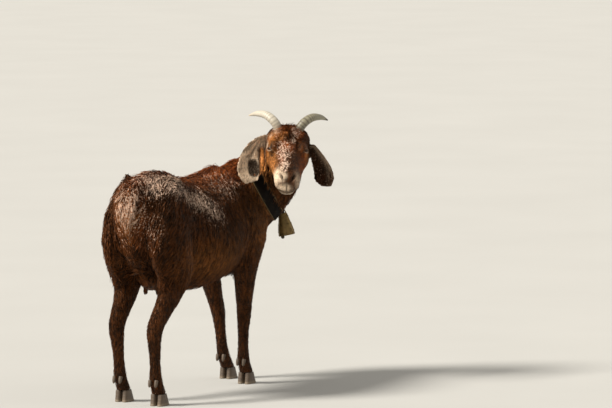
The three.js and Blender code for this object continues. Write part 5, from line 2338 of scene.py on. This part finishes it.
@dataclass
class Collar:
    """A wide leather strap round the neck, stitched along both edges, with a buckle."""

    bearing: float = math.radians(-64)
    sag: float = math.radians(28)
    width: float = 37.4 * MM
    thickness: float = 4.0 * MM
    steps: int = 220
    stitch_gap: float = 5.2 * MM
    stitch_row: float = 0.8
    stitch_length: float = 3.6 * MM
    stitch_radius: float = 0.55 * MM
    stitch_depth: float = 0.75 * MM
    groove_depth: float = 0.55 * MM
    edge_drop: float = 1.5 * MM
    buckle_size: tuple[float, float] = (30 * MM, 43 * MM)
    buckle_wire: float = 2.1 * MM
    tongue_wire: float = 1.7 * MM
    buckle_lift: float = 2.2 * MM
    tongue_lift: float = 3.4 * MM
    end_span: tuple[float, float] = (12, 96)
    end_taper: float = 70

    def __post_init__(self) -> None:
        """Works out the strap's axes and reads its course off the CAD collar."""
        flat = np.array((math.cos(self.bearing), math.sin(self.bearing), 0.0))
        self.ahead = np.array((-flat[1], flat[0], 0.0))
        self.axis = flat * math.cos(self.sag) + UP * math.sin(self.sag)
        self.upright = -flat * math.sin(self.sag) + UP * math.cos(self.sag)
        points = points_of(NODES["collar"].data)
        along = points @ self.axis
        self.centre = points.mean(axis=0)
        self.centre += self.axis * ((along.min() + along.max()) / 2 - self.centre @ self.axis)
        self.read_course()
        self.radius = float(self.course.mean())
        buckle = node_centre("buckle") - self.centre
        self.buckle_turn = math.atan2(buckle @ self.ahead, buckle @ self.upright)

    def read_course(self) -> None:
        """Distance of the strap's outer face from the axis, by turn and by place across it."""
        tree, _ = search_tree("collar")
        outside = 0.3
        self.turns = full_turn(self.steps)
        self.across = np.array((-17.5, -9.0, 0.0, 9.0, 17.5)) * MM
        self.course = np.full((self.steps, len(self.across)), np.nan)
        for i, turn in enumerate(self.turns):
            way = self.upright * math.cos(turn) + self.ahead * math.sin(turn)
            for j, aside in enumerate(self.across):
                start = self.centre + self.axis * aside + way * outside
                hit = tree.ray_cast(Vector(start), Vector(-way))[0]
                if hit:
                    self.course[i, j] = (np.array(hit) - start) @ way + outside
        for column in self.course.T:
            good = np.flatnonzero(~np.isnan(column))
            column[:] = np.interp(np.arange(self.steps), good, column[good], period=self.steps)
            for _ in range(5):
                column[:] = (np.roll(column, 1) + 2 * column + np.roll(column, -1)) / 4

    def surface(self, turn: Array, aside: Array, lift: Array) -> Array:
        """Points on the strap.

        Args:
            turn: Angle round the neck.
            aside: Place across the strap.
            lift: Height off its face.

        Returns:
            The points.
        """
        turn, aside, lift = np.broadcast_arrays(turn, aside, lift)
        place = np.mod(turn, 2 * math.pi) / (2 * math.pi) * self.steps
        share = place - np.floor(place)
        row = np.floor(place).astype(int) % self.steps
        last = len(self.across) - 1
        column = np.clip((aside - self.across[0]) / (self.across[-1] - self.across[0]), 0, 1) * last
        low = np.minimum(np.floor(column).astype(int), last - 1)
        part = column - low
        here, after = (self.course[k, low] * (1 - part) + self.course[k, low + 1] * part
                       for k in (row, (row + 1) % self.steps))
        way = np.cos(turn)[..., None] * self.upright + np.sin(turn)[..., None] * self.ahead
        radius = here * (1 - share) + after * share + lift
        return self.centre + self.axis * aside[..., None] + way * radius[..., None]

    def build_strap(self) -> Piece:
        """The strap: rounded edges, a groove for each row of stitches.

        Returns:
            The strap.
        """
        half = self.width / 2
        top, back = np.linspace(-1, 1, 27), np.linspace(1, -1, 9)
        crown = -self.thickness * 0.16 * top ** 4
        groove = -self.groove_depth * bell_curve((np.abs(top) - self.stitch_row) / 0.035)
        rounding = -self.edge_drop * np.maximum(0.0, np.abs(top) - 0.93) / 0.07
        aside = np.concatenate((half * top, half * back * 0.995))
        lift = np.concatenate((crown + groove + rounding, -self.thickness + 0.5 * MM * back ** 4))
        made = ringed("collar_strap", self.surface(self.turns[:, None], aside, lift), closed=True)
        set_attribute(made.data, "edge", np.tile(ease(0.80, 1.0, np.abs(aside) / half), self.steps))
        return made

    def build_stitches(self) -> Piece:
        """Both rows of stitches, a bead set along the strap at each point of a row.

        Returns:
            The stitches.
        """
        turns = full_turn(int(2 * math.pi * self.course.mean() / self.stitch_gap))
        places, ways, outs = [], [], []
        for row in (-self.stitch_row, self.stitch_row):
            aside = row * self.width / 2
            here, after = (self.surface(turns + step, aside, -self.stitch_depth)
                           for step in (0.0, 0.02))
            places.append(here)
            ways.append(unit(after - here))
            outs.append(unit(here - (self.centre + self.axis * aside)))
        made = new_object("collar_stitches", np.concatenate(places), [])
        set_attribute(made.data, "way", np.concatenate(ways))
        set_attribute(made.data, "out", np.concatenate(outs))
        tree = Tree("stitches", Length="Float", Radius="Float")
        bead = tree.out("GeometryNodeMeshUVSphere", {}, {"Segments": 8, "Rings": 6, "Radius": 1.0})
        radius = Field(tree, tree.given["Radius"])
        size = tree.combine(radius, Field(tree, tree.given["Length"]) * 0.5, radius * 0.8)
        turn = tree.rotation(tree.named("out", "FLOAT_VECTOR"), tree.named("way", "FLOAT_VECTOR"))
        tree.end(tree.placed(tree.given["Geometry"], bead, turn, size))
        return tree.apply(made, Length=self.stitch_length, Radius=self.stitch_radius,
                          Material=ThreadFinish().make())

    def build_buckle(self) -> Piece:
        """Buckle frame with its tongue, on the left of the neck where the CAD buckle is.

        Returns:
            The buckle.
        """
        angle, around = full_turn(64), full_turn(12)
        length, width = self.buckle_size
        along = blunt(np.cos(angle), 0.36) * length / 2
        aside = blunt(np.sin(angle), 0.36) * width / 2
        centres = self.surface(self.buckle_turn + along / self.radius, aside, self.buckle_lift)
        tangent = unit(np.roll(centres, -1, axis=0) - np.roll(centres, 1, axis=0))
        first = unit(np.cross(tangent, unit(centres - self.centre)))
        cos, sin = self.buckle_wire * np.cos(around), self.buckle_wire * np.sin(around)
        loop = ringed("buckle_frame", swept(centres, first, np.cross(first, tangent), cos, sin),
                      closed=True)
        along = np.linspace(-15, 16, 14) * MM
        centres = self.surface(self.buckle_turn + along / self.radius, 0.0, self.tongue_lift)
        out = unit(centres - self.centre)
        first = unit(np.cross(unit(np.gradient(centres, axis=0)), out))
        wire = np.linspace(1.0, 0.7, 14)[:, None] * self.tongue_wire
        tongue = ringed("tongue", swept(centres, first, out, wire * np.cos(around),
                                        wire * np.sin(around)))
        return joined("buckle_frame", loop, tongue)

    def build_end(self) -> Piece:
        """Strap end that lies over the strap beyond the buckle.

        Returns:
            The strap end.
        """
        along = np.linspace(*self.end_span, 40)[:, None] * MM
        share = np.linspace(-1, 1, 13)
        taper = ease(self.end_taper * MM, self.end_span[1] * MM, along)
        tip = np.sqrt(np.clip(1 - taper ** 2, 0.04, 1))
        turns = self.buckle_turn + along / self.radius
        aside = self.width * 0.40 * share * tip
        top = self.surface(turns, aside, 0.6 * MM + 2.2 * MM * (1 - 0.3 * share ** 4))
        under = self.surface(turns, aside, 0.1 * MM)[:, ::-1]
        made = ringed("collar_end", np.concatenate((top, under), axis=1))
        edge = np.abs(np.concatenate((share, share[::-1]))) ** 6
        set_attribute(made.data, "edge", np.tile(edge, len(along)))
        return made

    def build(self) -> None:
        """Makes and dresses the collar."""
        leather = LeatherFinish().make()
        steel = MetalFinish("buckle_steel", clean=tone(140, 136, 126), rusty=0.4)
        finish_piece(self.build_strap(), Slot.STRAP, "collar", material=leather)
        finish_piece(self.build_stitches(), Slot.STRAP)
        finish_piece(self.build_end(), Slot.STRAP, material=leather)
        finish_piece(self.build_buckle(), Slot.BUCKLE, "buckle", material=steel.make())


@dataclass
class Bell:
    """Folded sheet-metal bell with its staple, clapper and the loop of strap that carries it."""

    collar: Collar
    height: float = 68 * MM
    swing: float = math.radians(11)
    wall: float = 1.6 * MM
    levels: int = 40
    sides: int = 64
    profile: tuple[tuple[float, float], ...] = ((12.0, 8.0), (16.3, 12.5), (21.6, 17.1), (24.0, 19.0))
    staple_radius: float = 9.5 * MM
    staple_wire: float = 1.6 * MM
    rivet_radius: float = 1.9 * MM
    rivet_height: float = 1.2 * MM
    rod_radius: float = 1.8 * MM
    ball_radius: float = 5.5 * MM
    crown_rise: float = 3.2 * MM
    flare: float = 0.8 * MM
    dent: float = 0.5 * MM
    seam: tuple[float, float] = (4.2 * MM, 0.9 * MM)
    rivets: Triple = (0.18, 0.5, 0.82)
    loop: tuple[float, float] = (5.0 * MM, 1.3 * MM)
    loop_depth: float = 9.0 * MM
    loop_gap: float = 1.2 * MM

    def __post_init__(self) -> None:
        """Works out the bell's axes from its CAD node."""
        self.ahead = self.collar.ahead
        turned = np.cross(self.ahead, -UP)
        self.hang = -UP * math.cos(self.swing) - turned * math.sin(self.swing)
        self.side = unit(np.cross(self.ahead, self.hang))
        self.rod = np.array((*node_centre("clapper")[:2], node_box("clapper")[1][2]))
        self.top = self.rod - self.hang * self.crown_rise

    def shell(self, share: float, inset: float = 0.0) -> Array:
        """Ring of the bell.

        Args:
            share: How far down the bell it lies, from 0 to 1.
            inset: How far it is drawn in.

        Returns:
            The ring's points.
        """
        half, depth = spline(np.array(self.profile), np.array([min(share, 1.0) * 3]))[0] * MM
        flare = self.flare * ease(0.93, 1.0, np.array(share))
        turn = full_turn(self.sides)
        x = blunt(np.cos(turn), 0.82) * (half + flare - inset)
        y = blunt(np.sin(turn), 0.82) * (depth + flare - inset)
        dent = self.dent * np.sin(3 * turn + 5 * share) * math.sin(math.pi * share)
        centre = self.top + self.hang * (self.height * share)
        return centre + np.outer(x, self.side) + np.outer(y + dent, self.ahead)

    def build_body(self) -> Piece:
        """Bell wall with its crown and open mouth, as one closed skin.

        Returns:
            The wall.
        """
        shoulder = [self.shell(0.0, 5 * MM) - self.hang * 0.2 * MM, self.shell(0.0, 1.4 * MM)]
        outer = [self.shell(0.03 + 0.97 * s) for s in np.linspace(0.0, 1.0, self.levels)]
        inner = [self.shell(s, self.wall) for s in np.linspace(1.0, 0.04, self.levels)]
        return ringed("bell_body", np.array(shoulder + outer + inner + [self.shell(0.04, 6 * MM)]))

    def band(self, name: str, centres: Array, wide: Array, out: Array, half: float, thick: float,
             closed: bool = False) -> Piece:
        """A flat band along a line of points.

        Args:
            name: Name of the band.
            centres: The points.
            wide: The way its width runs.
            out: The way its thickness runs.
            half: Half its width.
            thick: Half its thickness.
            closed: Whether its ends join.

        Returns:
            The band.
        """
        turn = full_turn(16)
        return ringed(name, swept(centres, wide, out, blunt(np.cos(turn), 0.5) * half,
                                  blunt(np.sin(turn), 0.7) * thick), closed)

    def build_seams(self) -> list[Piece]:
        """Folded seams down both narrow sides, each closed by rivets.

        Returns:
            Their parts.
        """
        parts = []
        for out, index in ((self.side, 0), (-self.side, self.sides // 2)):
            line = np.array([self.shell(share)[index] for share in np.linspace(0.05, 0.97, 24)])
            parts.append(self.band("seam", line, self.ahead, out, *self.seam))
            for share in self.rivets:
                parts.append(self.rivet(self.shell(share)[index] + out * 0.7 * MM, out))
        return parts

    def rivet(self, at: Array, out: Array) -> Piece:
        """A low domed rivet head.

        Args:
            at: Middle of its foot.
            out: The way it rises.

        Returns:
            The rivet.
        """
        tilt = np.linspace(math.pi / 2, 0.08, 6)[:, None]
        wide, turn = self.rivet_radius * np.sin(tilt), full_turn(14)
        return ringed("rivet", swept(at + self.rivet_height * np.cos(tilt) * out, self.ahead,
                                     np.cross(out, self.ahead), wide * np.cos(turn),
                                     wide * np.sin(turn)))

    def build_staple(self) -> Piece:
        """The round staple on the crown.

        Returns:
            The staple.
        """
        turn, around = full_turn(40)[:, None], full_turn(12)
        out = np.cos(turn) * self.side - np.sin(turn) * self.hang
        cos, sin = self.staple_wire * np.cos(around), self.staple_wire * np.sin(around)
        return ringed("staple", swept(self.top + out * self.staple_radius, out, self.ahead, cos, sin),
                      closed=True)

    def build_clapper(self) -> Piece:
        """Rod with a forged ball, hanging plumb.

        Returns:
            The clapper.
        """
        low, high = node_box("clapper")
        length = high[2] - low[2]
        depth = np.concatenate((np.linspace(0.0, 0.80, 12), np.linspace(0.82, 1.0, 16)))
        fall = (depth * length)[:, None]
        middle = length - self.ball_radius
        ball = np.sqrt(np.clip(self.ball_radius ** 2 - (fall - middle) ** 2, 0, None))
        radius = np.maximum(np.where(fall < middle, self.rod_radius, 0.4 * MM), ball)
        turn = full_turn(20)
        return ringed("bell_clapper", swept(self.rod - fall * UP, np.eye(3)[0], np.eye(3)[1],
                                            radius * np.cos(turn), radius * np.sin(turn)))

    def build_loop(self) -> Piece:
        """The loop of strap between the collar and the staple.

        Returns:
            The loop.
        """
        low, high = node_box("bell_strap")
        turn = full_turn(56)[:, None]
        height = (high[2] - low[2]) / 2 - self.loop_gap
        out = np.cos(turn) * self.ahead + np.sin(turn) * UP
        around = np.cos(turn) * self.loop_depth * self.ahead + np.sin(turn) * height * UP
        centres = (low + high) / 2 + around
        made = self.band("bell_loop", centres, unit(np.cross(self.ahead, UP)), out, *self.loop,
                         closed=True)
        set_attribute(made.data, "edge", np.tile(np.abs(np.cos(full_turn(16))) ** 6, len(turn)))
        return made

    def build(self) -> None:
        """Makes and dresses the bell and what hangs with it."""
        body = joined("bell_body", self.build_body(), *self.build_seams(), self.build_staple())
        iron = MetalFinish("clapper_iron", clean=tone(84, 78, 70))
        dyed = LeatherFinish("loop_leather", dark=tone(22, 24, 34), olive=tone(40, 42, 56))
        for piece, slot, node, finish in (
                (body, Slot.BELL, "bell", MetalFinish("bell_metal")),
                (self.build_clapper(), Slot.BELL, "clapper", iron),
                (self.build_loop(), Slot.STRAP, "bell_strap", dyed)):
            finish_piece(piece, slot, node, material=finish.make())


def main() -> None:
    """Builds the animal piece by piece; finish_piece logs each piece's triangles."""
    Studio().build()
    head = HeadFrame()
    skin = Skin(head)
    hide = skin.build()
    Coat(skin).build()
    finish_piece(hide, Slot.HIDE, *FLESH, material=HairFinish("hide", loose=False).make())
    Eyes(skin).build()
    Horns(head).build()
    Hooves().build()
    collar = Collar()
    collar.build()
    Bell(collar).build()


if __name__ == "__main__":
    main()
